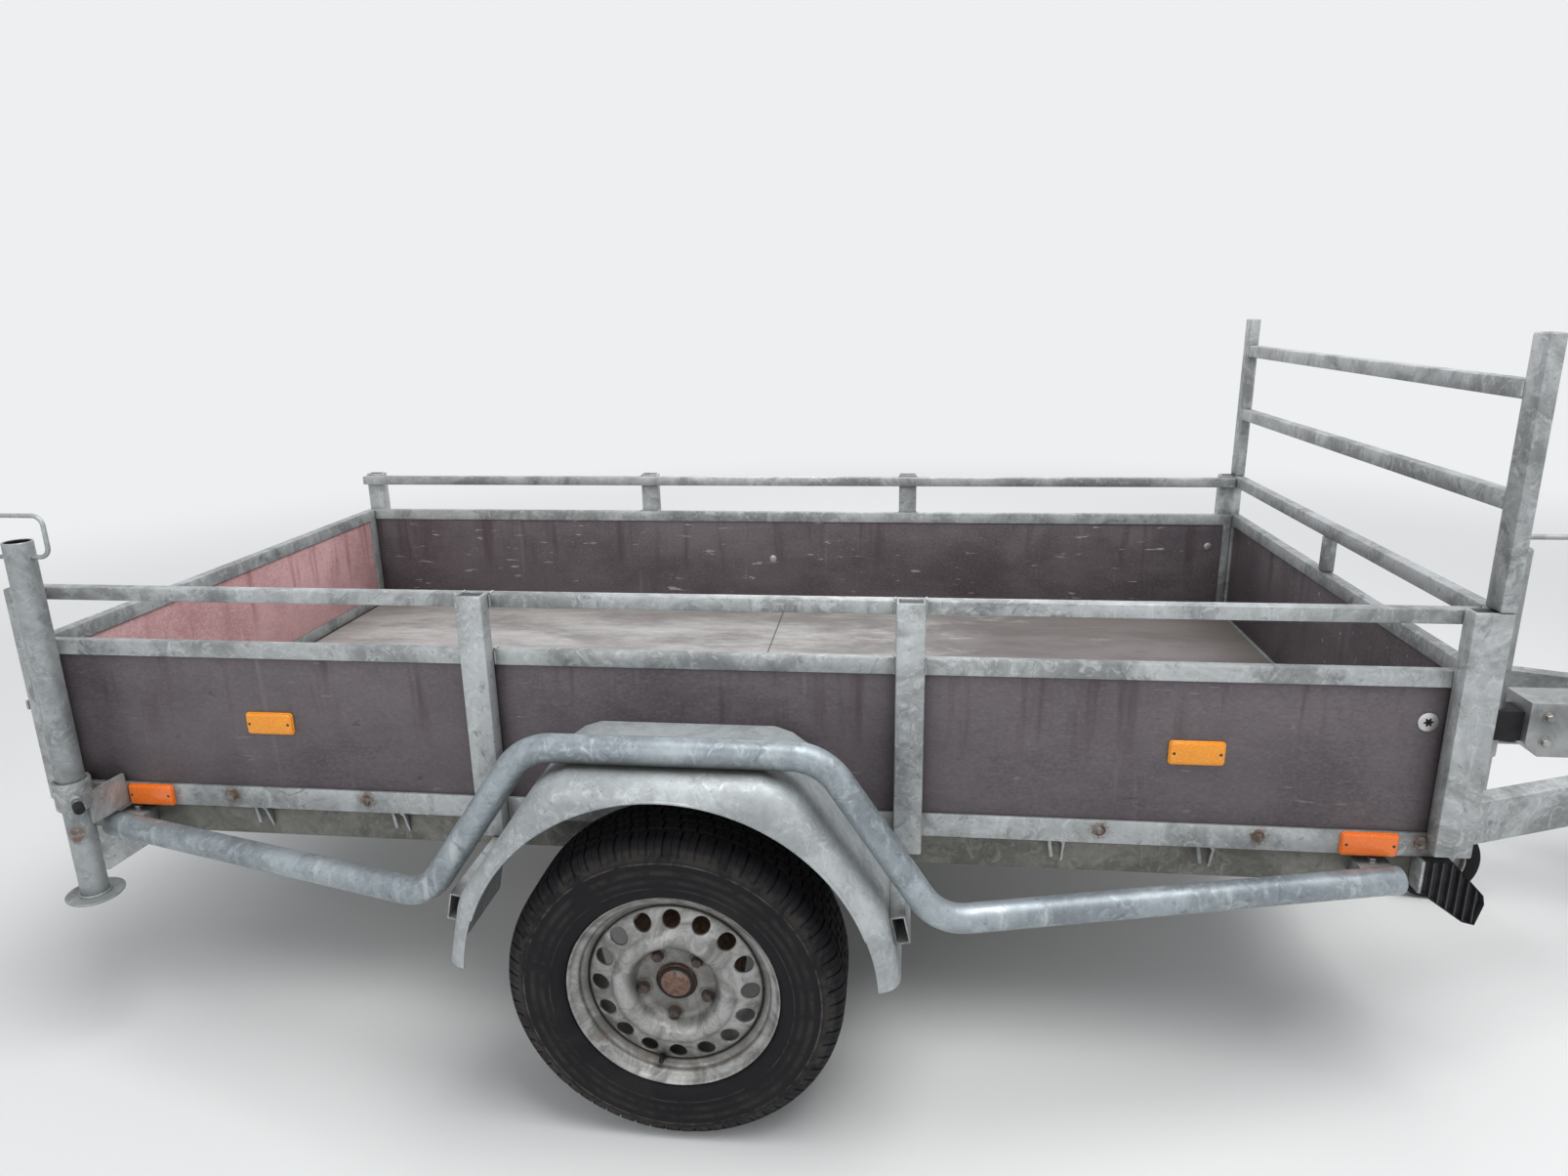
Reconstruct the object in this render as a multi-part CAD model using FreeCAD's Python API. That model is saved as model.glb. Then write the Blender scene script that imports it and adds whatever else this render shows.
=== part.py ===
import FreeCAD, Part
import math
import os
from FreeCAD import Vector

# A single-axle utility trailer: a box body on two side beams, a V drawbar with an overrun coupling,
# a jockey wheel, two rear prop stands, mudguards with tube guards and a bottom-hinged tailgate.
# Millimetres. +X points to the coupling, +Y to the trailer's left, +Z up, z = 0 on the ground.
# Fore and aft places are given from the headboard's front face, front_x, or from the axle, axle_x.

# Load space
inner_length = 2549.0
inner_width = 1250.0
floor_top = 500.0
floor_thickness = 12.0

# Steel sections of the body frame
rail_depth = 20.0
post_depth = 35.0
mid_post_width = 50.0
front_post_width = 60.0
rear_post_width = 50.0
sill_height = 45.0
sill_above_floor = 4.0
board_rail_height = 30.0
board_rail_top = 798.0
railing_height = 25.0
railing_depth = 25.0
railing_top = 902.0
post_top = 907.0
mid_post_bottom = 440.0
corner_post_bottom = 478.0
wall_thickness = 25.0
gate_thickness = 30.0
board_thickness = 12.0
board_recess = 5.0
end_strip_width = 22.0

# Head frame
head_post_width = 25.0
head_post_depth = 45.0
head_post_top = 1332.0
head_rail_height = 30.0
head_post_above_rail = 69.0
mid_rail_share = 0.5225
head_stub_width = 25.0

# Chassis
beam_height = 95.0
beam_width = 40.0
beam_wall = 4.0
beam_front_gap = 65.0
cross_member_width = 40.0

# Drawbar and coupling, reaches ahead of the headboard
leg_width = 40.0
leg_angle = 22.0
leg_outer_y_at_front = 528.0
leg_rear_reach = 230.0
leg_front_reach = 1020.0
housing_start = 436.0
housing_end = 965.0
housing_half_width = 50.0
housing_bottom = 388.0
housing_top = 516.0
plate_thickness = 6.0
housing_chamfer = 30.0
plate_start = 760.0
coupling_height = 452.0
shaft_radius = 25.0
shaft_show = 70.0
shaft_seat = 40.0
bellows_radius = 37.0
bellows_length = 110.0
bellows_gap = 1.0
ball_radius = 25.0
socket_wall = 11.0
head_neck_length = 156.0
head_nose_length = 58.0
head_nose_half_width = 20.0
head_top_rise = 34.0
head_drop = 30.0
head_grip_length = 150.0
head_grip_rise = 84.0
head_grip_half_width = 10.0
head_grip_thickness = 16.0

# Axle and wheels
axle_back = 1322.0
wheel_radius = 287.5
tyre_width = 177.0
tyre_gap = 88.5
tread_half_width = 64.0
shoulder_radius = 252.0
rim_flange_radius = 182.6
rim_inner_radius = 158.0
rim_lip_width = 8.0
rim_lip_depth = 14.0
rim_half_width = 74.5
rim_wall = 4.0
wheel_offset = 30.0
ring_inner_radius = 60.0
ring_outer_radius = 92.0
ring_slope = 9.0
ring_rise = 16.0
vent_count = 16
vent_length = 25.0
vent_width = 20.0
vent_circle = 109.0
vent_sides = 8
hub_neck_radius = 28.5
hub_cap_reach = 36.0
axle_tube_size = 60.0
arm_length = 140.0
arm_rise = 56.0
arm_thickness = 28.0
arm_root_radius = 40.0
arm_end_radius = 30.0
arm_boss_length = 54.0
spindle_radius = 15.0
spindle_short = 12.0
drum_radius = 104.0
drum_setback = 32.0
back_plate_thickness = 3.0
fit_clearance = 0.05
running_gap = 5.0

# How many flats round pieces have where their seat needs no true circle
wheel_sides = 48
drum_sides = 32
round_sides = 16
slim_sides = 8
bend_sides = 3


# Mudguards and tube guards, places from the axle
guard_radius = 24.0
guard_outward = 40.0
guard_end_y = 673.0
guard_low_z = 430.0
guard_top_z = 710.0
guard_bend = 90.0
guard_lug_length = 60.0
guard_lug_height = 30.0
guard_stations = (("rear end", -1163.0), ("rear foot", -427.0), ("rear shoulder", -232.0),
                  ("front shoulder", 249.0), ("front foot", 435.0), ("front end", 1216.0))
mudguard_inward = 132.0
mudguard_outward = 108.0
mudguard_sheet = 3.0
mudguard_roll = 42.0
mudguard_top = 685.0
mudguard_bottom = 338.0
mudguard_arch_radius = 343.0
mudguard_arch_z = 312.0
mudguard_end_reach = 378.0
mudguard_end_lean = 12.0
mudguard_end_height = 114.0
mudguard_shoulder_reach = 190.0
mudguard_shoulder_bend = 100.0
mid_post_from_axle = 386.0
bracket_width = 25.0
bracket_height = 50.0
bracket_wall = 3.0
bracket_past_guard = 8.0
seat_gap = 0.3

# Rear prop stands
stand_from_rear = 107.0
stand_y = 735.0
stand_radius = 24.0
stand_lift = 310.0
stand_length = 701.0
stand_foot_radius = 50.0
stand_foot_thickness = 6.0
handle_half_width = 57.0
handle_drop = 28.0
handle_rise = 46.0
handle_radius = 4.0
handle_bend = 18.0
clamp_bottom = 498.0
clamp_height = 56.0
clamp_wall = 7.0
clamp_plate_half = 42.0
clamp_plate_back = 6.0
clamp_foot_above_sill = 3.0
tommy_bar_radius = 6.0
tommy_bar_length = 46.0
tommy_bar_above = 24.0
tommy_bar_ahead = 22.0
slide_clearance = 0.1

# Jockey wheel
jockey_reach = 382.0
jockey_sleeve_radius = 24.0
jockey_sleeve_bottom = 372.0
jockey_sleeve_top = 842.0
jockey_tube_radius = 19.0
jockey_wheel_radius = 100.0
jockey_wheel_width = 48.0
jockey_trail = 70.0
jockey_fork_top = 262.0
jockey_fork_plate = 5.0
jockey_side_gap = 5.0
jockey_tube_length = 358.0
jockey_pin_radius = 8.0
jockey_pin_length = 45.0
jockey_crown = 24.0
jockey_crown_half_length = 26.0
jockey_rim_radius = 66.0
jockey_boss_radius = 20.0
jockey_web_recess = 10.0
clamp_block_height = 70.0
clamp_block_wall = 7.0
clamp_screw_radius = 7.0
clamp_screw_length = 60.0
crank_z = 888.0
crank_length = 118.0
crank_radius = 6.0
crank_grip_height = 70.0
crank_spindle_radius = 9.0
crank_collar_height = 14.0

# Tailgate
gate_rail_height = 30.0
gate_gap = 5.0
gate_board_recess = 3.0
hinge_y = 430.0
hinge_length = 90.0
hinge_radius = 9.0
hinge_pin_radius = 5.0
hinge_back = 14.0
leaf_thickness = 4.0
leaf_height = 54.0
hinge_z = 496.0
latch_z = 672.0
latch_half_height = 34.0
latch_width = 48.0
latch_plate = 6.0
latch_knob_radius = 15.0
latch_knob_length = 8.0
latch_tongue = 5.0
latch_tongue_half_height = 9.0
keeper_width = 20.0

# Lamps, reflectors and small fittings
lamp_bar_height = 100.0
lamp_bar_setback = 20.0
lamp_bar_wall = 3.0
gusset_length = 180.0
lamp_bar_lip = 22.0
lamp_above_lip = 10.0
lamp_corner = 6.0
lamp_width = 215.0
lamp_height = 84.0
lamp_depth = 46.0
lamp_proud = 9.0
lamp_y = 505.0
reflector_size = (94.0, 8.0, 44.0)
tarp_pin_radius = 4.0
tarp_pin_length = 34.0
tarp_pin_lean = 5.0
tarp_pin_sides = 6
tarp_pin_stations = (2205.0, 1922.0, 683.0, 426.0)
gusset_ahead = 22.0
sill_gusset_height = 48.0
sill_gusset_thickness = 5.0
chock_width = 60.0
chock_outward = 15.0
chock_top_reach = 50.0
chock_heel_rise = 5.0
chock_nose = ((106.0, 6.0), (110.0, -11.0), (100.0, -52.0), (79.0, -47.0))
chock_holder_thickness = 5.5
lever_length = 380.0
lever_rise = 62.0
lever_radius = 7.0
lever_bend = 40.0
lever_hub_radius = 17.0
lever_hub_width = 22.0
lever_grip_radius = 13.0
lever_grip_length = 116.0
lever_pin_radius = 8.0
lever_pin_length = 28.0
lever_side_gap = 3.0
lever_pivot_drop = 22.0
lever_pivot_reach = 600.0
brake_rod_radius = 5.0
brake_rod_y = 42.0
brake_rod_overlap = 80.0
equaliser_half_width = 60.0
equaliser_half_height = 12.0
equaliser_thickness = 6.0
rod_hanger_stations = (85.0, 620.0, 1060.0)
rod_hanger_half_width = 14.0
rod_hanger_thickness = 4.0

# Worked out from the above
half_inner = inner_width / 2
rail_outer = half_inner + rail_depth
post_outer = rail_outer + post_depth
body_length = inner_length + wall_thickness + gate_thickness
rear_overhang = hinge_back + hinge_radius
neck_reach = housing_end + bellows_gap + bellows_length + shaft_show
ball_reach = neck_reach + head_neck_length
draw_length = ball_reach + head_nose_length
overall_length = rear_overhang + body_length + draw_length
front_x = overall_length / 2 - draw_length
rear_x = front_x - body_length
gate_inner_x = rear_x + gate_thickness
wall_inner_x = front_x - wall_thickness
axle_x = front_x - axle_back
axle_z = wheel_radius
floor_bottom = floor_top - floor_thickness
beam_top = floor_bottom
beam_bottom = beam_top - beam_height
beam_outer = half_inner
leg_top = beam_top - beam_wall
leg_bottom = beam_bottom + beam_wall
sill_top = floor_top + sill_above_floor
sill_bottom = sill_top - sill_height
board_rail_bottom = board_rail_top - board_rail_height
track_half = rail_outer + tyre_gap + tyre_width / 2
hub_face_y = track_half + wheel_offset
drum_inner_y = track_half - drum_setback
arm_inner_y = drum_inner_y - running_gap - back_plate_thickness - arm_boss_length - arm_thickness
guard_y = track_half + guard_outward
mudguard_inner_y = track_half - mudguard_inward
mudguard_outer_y = track_half + mudguard_outward
bracket_tip_y = guard_y + bracket_past_guard
pivot_x = axle_x + arm_length
pivot_z = axle_z + arm_rise
stand_x = rear_x + stand_from_rear
jockey_x = front_x + jockey_reach
hinge_x = rear_x - hinge_back
lever_pivot_z = housing_top - lever_pivot_drop
SIDES = (("right", -1), ("left", 1))

os.makedirs("parts", exist_ok=True)


def save(name, shapes):
    """Write one node: a single solid, or several solids that stand apart."""
    solids = [solid for shape in shapes for solid in shape.Solids]
    shape = solids[0] if len(solids) == 1 else Part.makeCompound(solids)
    shape.exportStep(f"parts/{name}.step")


def box(x0, x1, y0, y1, z0, z1):
    return Part.makeBox(x1 - x0, y1 - y0, z1 - z0, Vector(x0, y0, z0))


def mirrored(shape):
    return shape.mirror(Vector(0, 0, 0), Vector(0, 1, 0))


def sided(shape, sign):
    """A shape modelled on the left, sign 1, or its mirror image on the right, sign -1."""
    return shape if sign > 0 else mirrored(shape)


def both(shapes):
    return list(shapes) + [mirrored(shape) for shape in shapes]


def cylinder(start, direction, radius, length):
    return Part.makeCylinder(radius, length, Vector(*start), Vector(*direction))


def prism_y(points, y0, y1):
    """Extrude an outline of (x, z) points from y0 to y1."""
    ring = [Vector(x, y0, z) for x, z in points]
    return Part.Face(Part.makePolygon(ring + ring[:1])).extrude(Vector(0, y1 - y0, 0))


def prism_z(points, z0, z1):
    """Extrude an outline of (x, y) points from z0 to z1."""
    ring = [Vector(x, y, z0) for x, y in points]
    return Part.Face(Part.makePolygon(ring + ring[:1])).extrude(Vector(0, 0, z1 - z0))


def section(centre, along, radius, sides):
    """A regular polygon across a direction, its sides touching the circle of that radius."""
    upright = Vector(0, 0, 1) if abs(along.z) < 0.9 else Vector(1, 0, 0)
    across = along.cross(upright).normalize()
    up = along.cross(across)
    corner = radius / math.cos(math.pi / sides)
    ring = []
    for index in range(sides):
        angle = 2 * math.pi * (index + 0.5) / sides
        ring.append(centre + (across * math.cos(angle) + up * math.sin(angle)) * corner)
    return Part.makePolygon(ring + ring[:1])


def faceted(start, direction, radius, length, sides):
    """A round piece in flats, for where its seat needs no true circle."""
    along = Vector(*direction).normalize()
    return Part.Face(section(Vector(*start), along, radius, sides)).extrude(along * length)


def turned(points, axis, sides):
    """Turn an outline of (offset along Y, radius) points about an axis through a point, in flats."""
    corner = 1 / math.cos(math.pi / sides)
    rings = []
    for index in range(sides):
        angle = 2 * math.pi * (index + 0.5) / sides
        across, up = math.cos(angle) * corner, math.sin(angle) * corner
        rings.append([axis + Vector(radius * across, offset, radius * up) for offset, radius in points])
    faces = []
    for one, two in zip(rings, rings[1:] + rings[:1]):
        for index in range(len(points)):
            corners = [one[index - 1], one[index], two[index], two[index - 1], one[index - 1]]
            faces.append(Part.Face(Part.makePolygon(corners)))
    solid = Part.Solid(Part.Shell(faces))
    if solid.Volume < 0:
        solid.reverse()
    return solid


def bend_points(points, radius):
    """The path with each inner corner broken into short straight runs along an arc."""
    path = [points[0]]
    for before, corner, after in zip(points, points[1:], points[2:]):
        back = (before - corner).normalize()
        ahead = (after - corner).normalize()
        half = back.getAngle(ahead) / 2
        centre = corner + (back + ahead).normalize() * (radius / math.sin(half))
        start = corner + back * (radius / math.tan(half)) - centre
        onward = back * -radius
        step = (math.pi - 2 * half) / bend_sides
        for index in range(bend_sides):
            angle = step * (index + 0.5)
            path.append(centre + (start * math.cos(angle) + onward * math.sin(angle)) / math.cos(step / 2))
    path.append(points[-1])
    return path


def bar(points, radius, bend, sides):
    """A round bar along a path with bent corners, its section a polygon of that many sides."""
    path = bend_points(points, bend)
    profile = section(path[0], (path[1] - path[0]).normalize(), radius, sides)
    return Part.makePolygon(path).makePipeShell([profile], True, False, 1)


def fuse(shapes):
    return shapes[0].multiFuse(shapes[1:]).removeSplitter()


def side_panels():
    """Sills, rails, railings, boards and posts, which are alike on both sides."""
    mid_posts = [axle_x - mid_post_from_axle, axle_x + mid_post_from_axle]
    sill = box(rear_x, wall_inner_x, half_inner, rail_outer, sill_bottom, sill_top)
    rail = box(rear_x, wall_inner_x, half_inner, rail_outer, board_rail_bottom, board_rail_top)
    strips = [box(x, x + end_strip_width, half_inner, rail_outer, sill_top, board_rail_bottom)
              for x in (rear_x, wall_inner_x - end_strip_width)]
    save("side_sills", both([sill]))
    save("side_rails", both([fuse([rail] + strips)]))

    railing_y = rail_outer - railing_depth
    save("side_railings", both([box(rear_x, front_x - head_post_width, railing_y, rail_outer,
                                    railing_top - railing_height, railing_top)]))

    board_outer = rail_outer - board_recess
    save("side_boards", both([box(rear_x + end_strip_width, wall_inner_x - end_strip_width,
                                  board_outer - board_thickness, board_outer,
                                  sill_top, board_rail_bottom)]))

    posts = [box(x - mid_post_width / 2, x + mid_post_width / 2, rail_outer, post_outer,
                 mid_post_bottom, post_top) for x in mid_posts]
    for x, width in ((rear_x, rear_post_width), (front_x - front_post_width, front_post_width)):
        posts.append(box(x, x + width, rail_outer, post_outer, corner_post_bottom, post_top))
    save("side_posts", both(posts))


def front_wall():
    rows = ((sill_bottom, sill_top), (board_rail_bottom, board_rail_top))
    rails = [box(wall_inner_x, front_x, -rail_outer, rail_outer, z0, z1) for z0, z1 in rows]
    ends = [box(wall_inner_x, front_x, rail_outer - end_strip_width, rail_outer, sill_top, board_rail_bottom)]
    save("front_frame", [fuse(rails + both(ends)).cut(drawbar_frame())])
    board_end = rail_outer - end_strip_width
    save("front_board", [box(front_x - board_recess - board_thickness, front_x - board_recess,
                             -board_end, board_end, sill_top, board_rail_bottom)])

    post_inner = post_outer - head_post_depth
    post = box(front_x - head_post_width, front_x, post_inner, post_outer, post_top, head_post_top)
    save("head_posts", both([post]))
    highest = head_post_top - head_post_above_rail
    middle = post_top + mid_rail_share * (highest - post_top)
    rails = []
    for top in (highest, middle, post_top):
        end = post_inner if top > post_top else rail_outer
        rails.append(box(front_x - head_post_width, front_x, -end, end, top - head_rail_height, top))
    save("head_rails", rails)
    save("head_stub", [box(front_x - wall_thickness, front_x, -head_stub_width / 2, head_stub_width / 2,
                           board_rail_top, post_top - head_rail_height)])


def channel(x0, x1, y_web, y_open, z0, z1):
    """A C section along X with its web at y_web and its flanges reaching to y_open."""
    low, high = sorted((y_web, y_open))
    outer = box(x0, x1, low, high, z0, z1)
    inward = 1 if y_open > y_web else -1
    cut_web = y_web + inward * beam_wall
    cut_low, cut_high = sorted((cut_web, y_open + inward))
    return outer.cut(box(x0 - 1, x1 + 1, cut_low, cut_high, z0 + beam_wall, z1 - beam_wall))


def chassis():
    rear = gate_inner_x
    front = front_x - beam_front_gap
    beam = channel(rear, front, beam_outer, beam_outer - beam_width, beam_bottom, beam_top)
    save("side_beams", both([beam]))

    # Cross members: how far each one's rear face lies behind the headboard
    stations = (("front", beam_front_gap + cross_member_width), ("second", 640.0),
                ("ahead of axle", 1080.0), ("behind axle", 1560.0), ("fourth", 2060.0))
    reach = beam_outer - beam_width
    legs = drawbar_frame()
    members = []
    for name, back in stations:
        x = front_x - back
        member = box(x, x + cross_member_width, -reach, reach, beam_bottom, beam_top)
        hollow = box(x + beam_wall, x + cross_member_width + 1, -reach - 1, reach + 1,
                     beam_bottom + beam_wall, beam_top - beam_wall)
        members.append(member.cut(hollow).cut(legs))
    save("cross_members", members)

    save("rear_sill", [box(rear_x, gate_inner_x, -half_inner, half_inner, beam_bottom, beam_top)])
    save("floor_sheet", [box(rear_x, wall_inner_x, -half_inner, half_inner, floor_bottom, floor_top)])


def drawbar_frame():
    """The two legs, which seat inside the side beams, and the plates that tie them to the housing."""
    slope = math.tan(math.radians(leg_angle))
    across = leg_width / math.cos(math.radians(leg_angle))

    def leg_y(reach):
        return leg_outer_y_at_front - slope * reach

    rear, front = -leg_rear_reach, leg_front_reach
    outline = [(front_x + rear, leg_y(rear)), (front_x + front, leg_y(front)),
               (front_x + front, leg_y(front) - across), (front_x + rear, leg_y(rear) - across)]
    legs = both([prism_z(outline, leg_bottom, leg_top)])
    plate = [(front_x + plate_start, -leg_y(plate_start)), (front_x + front, -leg_y(front)),
             (front_x + front, leg_y(front)), (front_x + plate_start, leg_y(plate_start))]
    plates = [prism_z(plate, z, z + plate_thickness) for z in (leg_top, leg_bottom - plate_thickness)]
    slot = box(front_x, front_x + front + 1, -housing_half_width, housing_half_width, 0, housing_top)
    return fuse(legs + plates).cut(slot)


def overrun():
    """The overrun housing, its draw shaft with bellows, the coupling head and the brake rod."""
    start, end = front_x + housing_start, front_x + housing_end
    half = housing_half_width
    cut = housing_chamfer
    side = [(start, housing_bottom + cut), (start + cut, housing_bottom), (end, housing_bottom),
            (end, housing_top - cut), (end - cut, housing_top), (start, housing_top)]
    pin = cylinder((front_x + lever_pivot_reach, half - 1, lever_pivot_z), (0, 1, 0),
                   lever_pin_radius, lever_pin_length + 1)
    save("overrun_housing", [fuse([prism_y(side, -half, half), pin])])

    neck_start = front_x + neck_reach
    save("draw_shaft", [cylinder((end, 0, coupling_height), (1, 0, 0), shaft_radius,
                                 neck_start + shaft_seat - end)])
    bellows_start = (end + bellows_gap, 0, coupling_height)
    bellows = faceted(bellows_start, (1, 0, 0), bellows_radius, bellows_length, round_sides)
    bore = faceted(bellows_start, (1, 0, 0), shaft_radius + seat_gap, bellows_length, round_sides)
    save("shaft_bellows", [bellows.cut(bore)])

    ball_x = front_x + ball_reach
    outer = ball_radius + socket_wall
    clear = ball_radius + seat_gap
    top, low = coupling_height + head_top_rise, coupling_height - head_drop
    neck = prism_y([(neck_start, low), (ball_x, low + 4), (ball_x, top),
                    (neck_start + shaft_seat, top + 4), (neck_start, top - 4)], -outer, outer)
    socket = faceted((ball_x, 0, low), (0, 0, 1), outer, top - low, round_sides)
    nose_block = prism_y([(ball_x, coupling_height - 12), (front_x + draw_length, coupling_height - 6),
                          (front_x + draw_length, coupling_height + 8), (ball_x, coupling_height + 26)],
                         -head_nose_half_width, head_nose_half_width)
    grip_end, grip_top = ball_x - head_grip_length, coupling_height + head_grip_rise
    grip = prism_y([(ball_x - 10, top - 2), (ball_x - 24, grip_top - 18), (grip_end, grip_top),
                    (grip_end, grip_top - head_grip_thickness), (ball_x - 40, grip_top - 36),
                    (ball_x - 34, top - 2)], -head_grip_half_width, head_grip_half_width)
    head = fuse([neck, socket, nose_block, grip])
    head = head.cut(cylinder((ball_x, 0, low - 1), (0, 0, 1), clear, coupling_height + clear - low + 1))
    head = head.cut(faceted((neck_start - 1, 0, coupling_height), (1, 0, 0), shaft_radius + seat_gap,
                            shaft_seat + 1, round_sides))
    save("coupling_head", [head])

    rod_z = housing_bottom - brake_rod_radius
    rod_y = brake_rod_y
    rod_rear = pivot_x + axle_tube_size
    rod = cylinder((rod_rear, rod_y, rod_z), (1, 0, 0), brake_rod_radius,
                   start + brake_rod_overlap - rod_rear)
    half_w, half_h = equaliser_half_width, equaliser_half_height
    equaliser = box(rod_rear - equaliser_thickness, rod_rear, rod_y - half_w, rod_y + half_w,
                    rod_z - half_h, rod_z + half_h)
    save("brake_rod", [fuse([rod, equaliser])])

    # Each hanger is a plate with a slot, open at the bottom, that the rod lies in
    hangers = []
    slot_half = brake_rod_radius + seat_gap
    for back in rod_hanger_stations:
        x = front_x - back
        plate = box(x, x + rod_hanger_thickness, rod_y - rod_hanger_half_width, rod_y + rod_hanger_half_width,
                    rod_z - rod_hanger_half_width, beam_bottom)
        slot = box(x - 1, x + rod_hanger_thickness + 1, rod_y - slot_half, rod_y + slot_half,
                   rod_z - rod_hanger_half_width - 1, rod_z + slot_half)
        hangers.append(plate.cut(slot))
    save("rod_hangers", hangers)


def handbrake():
    """The lever lies forward along the housing and lifts at its front end."""
    pivot = Vector(front_x + lever_pivot_reach, 0, lever_pivot_z)
    hub_y = housing_half_width + lever_side_gap
    y = hub_y + lever_hub_width / 2
    hub = faceted((pivot.x, hub_y, pivot.z), (0, 1, 0), lever_hub_radius, lever_hub_width, round_sides)
    path = [Vector(pivot.x + 10, y, pivot.z + 6), Vector(pivot.x + 60, y, pivot.z + lever_rise - 10),
            Vector(pivot.x + lever_length, y, pivot.z + lever_rise)]
    lever = bar(path, lever_radius, lever_bend, slim_sides)
    along = (path[2] - path[1]).normalize()
    grip_start = path[2] - along * (lever_grip_length - 6)
    grip = faceted(grip_start, along, lever_grip_radius, lever_grip_length, slim_sides)
    bore = cylinder((pivot.x, housing_half_width, pivot.z), (0, 1, 0), lever_pin_radius + fit_clearance,
                    lever_pin_length + 5)
    save("handbrake_lever", [fuse([hub, lever, grip]).cut(bore)])


def jockey():
    """Sleeve, clamp and crank on the drawbar; tube, fork and wheel below them."""
    clear = jockey_tube_radius + slide_clearance
    length = jockey_sleeve_top - jockey_sleeve_bottom
    centre = (jockey_x, 0, jockey_sleeve_bottom)
    sleeve = cylinder(centre, (0, 0, 1), jockey_sleeve_radius, length)
    sleeve = sleeve.cut(cylinder((jockey_x, 0, jockey_sleeve_bottom - 1), (0, 0, 1), clear, length - 10))
    save("jockey_sleeve", [sleeve])

    block_z = coupling_height - clamp_block_height / 2
    outer = jockey_sleeve_radius + clamp_block_wall
    ring = faceted((jockey_x, 0, block_z), (0, 0, 1), outer, clamp_block_height, round_sides)
    arm = box(jockey_x, front_x + housing_start, -outer, outer, block_z, block_z + clamp_block_height)
    screw = faceted((jockey_x, outer - 4, coupling_height), (0, 1, 0), clamp_screw_radius,
                    clamp_screw_length, slim_sides)
    bore = jockey_sleeve_radius + seat_gap
    hole = faceted((jockey_x, 0, block_z - 1), (0, 0, 1), bore, clamp_block_height + 2, round_sides)
    save("jockey_clamp", [fuse([ring, arm, screw]).cut(hole)])

    foot = (jockey_x, 0, jockey_sleeve_top)
    spindle = faceted(foot, (0, 0, 1), crank_spindle_radius, crank_z - jockey_sleeve_top, slim_sides)
    collar = faceted(foot, (0, 0, 1), jockey_sleeve_radius, crank_collar_height, round_sides)
    arm_z = crank_z - crank_radius - 2
    crank = bar([Vector(jockey_x - 3, 0, arm_z), Vector(jockey_x + crank_length, 0, arm_z),
                 Vector(jockey_x + crank_length, 0, arm_z + crank_grip_height)],
                crank_radius, 2 * crank_radius, slim_sides)
    save("jockey_crank", [fuse([spindle, collar, crank])])

    tube_foot = jockey_fork_top + seat_gap
    tube = cylinder((jockey_x, 0, tube_foot), (0, 0, 1), jockey_tube_radius, jockey_tube_length)
    pin_bore = cylinder((jockey_x, 0, jockey_fork_top), (0, 0, 1), jockey_pin_radius + fit_clearance,
                        jockey_pin_length + 1)
    save("jockey_tube", [tube.cut(pin_bore)])

    wheel_x = jockey_x - jockey_trail
    inner = jockey_wheel_width / 2 + jockey_side_gap
    outer = inner + jockey_fork_plate
    axle_height = jockey_wheel_radius
    crown_low = jockey_fork_top - jockey_crown
    reach = jockey_crown_half_length
    lug = 2 * jockey_pin_radius
    side = [(wheel_x - lug, axle_height - lug), (wheel_x + lug, axle_height - lug),
            (jockey_x + reach, crown_low), (jockey_x + reach, jockey_fork_top),
            (jockey_x - reach - 4, jockey_fork_top), (wheel_x - lug, axle_height + lug + 4)]
    legs = both([prism_y(side, inner, outer)])
    crown = box(jockey_x - reach, jockey_x + reach, -outer, outer, crown_low, jockey_fork_top)
    pin = cylinder((jockey_x, 0, jockey_fork_top), (0, 0, 1), jockey_pin_radius, jockey_pin_length)
    wheel_pin = cylinder((wheel_x, -outer, axle_height), (0, 1, 0), jockey_pin_radius, 2 * outer)
    save("jockey_fork", [fuse(legs + [crown, pin, wheel_pin])])

    axis = Vector(wheel_x, 0, axle_height)
    half = jockey_wheel_width / 2
    tyre = [(-half, jockey_rim_radius), (-half, jockey_wheel_radius),
            (half, jockey_wheel_radius), (half, jockey_rim_radius)]
    save("jockey_tyre", [turned(tyre, axis, drum_sides)])
    web = half - jockey_web_recess
    disc = faceted((wheel_x, -web, axle_height), (0, 1, 0), jockey_rim_radius - seat_gap, 2 * web, drum_sides)
    boss = faceted((wheel_x, -half - 1, axle_height), (0, 1, 0), jockey_boss_radius, 2 * half + 2,
                   round_sides)
    bore = cylinder((wheel_x, -half - 2, axle_height), (0, 1, 0), jockey_pin_radius + fit_clearance,
                    2 * half + 4)
    save("jockey_rim", [fuse([disc, boss]).cut(bore)])


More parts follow.
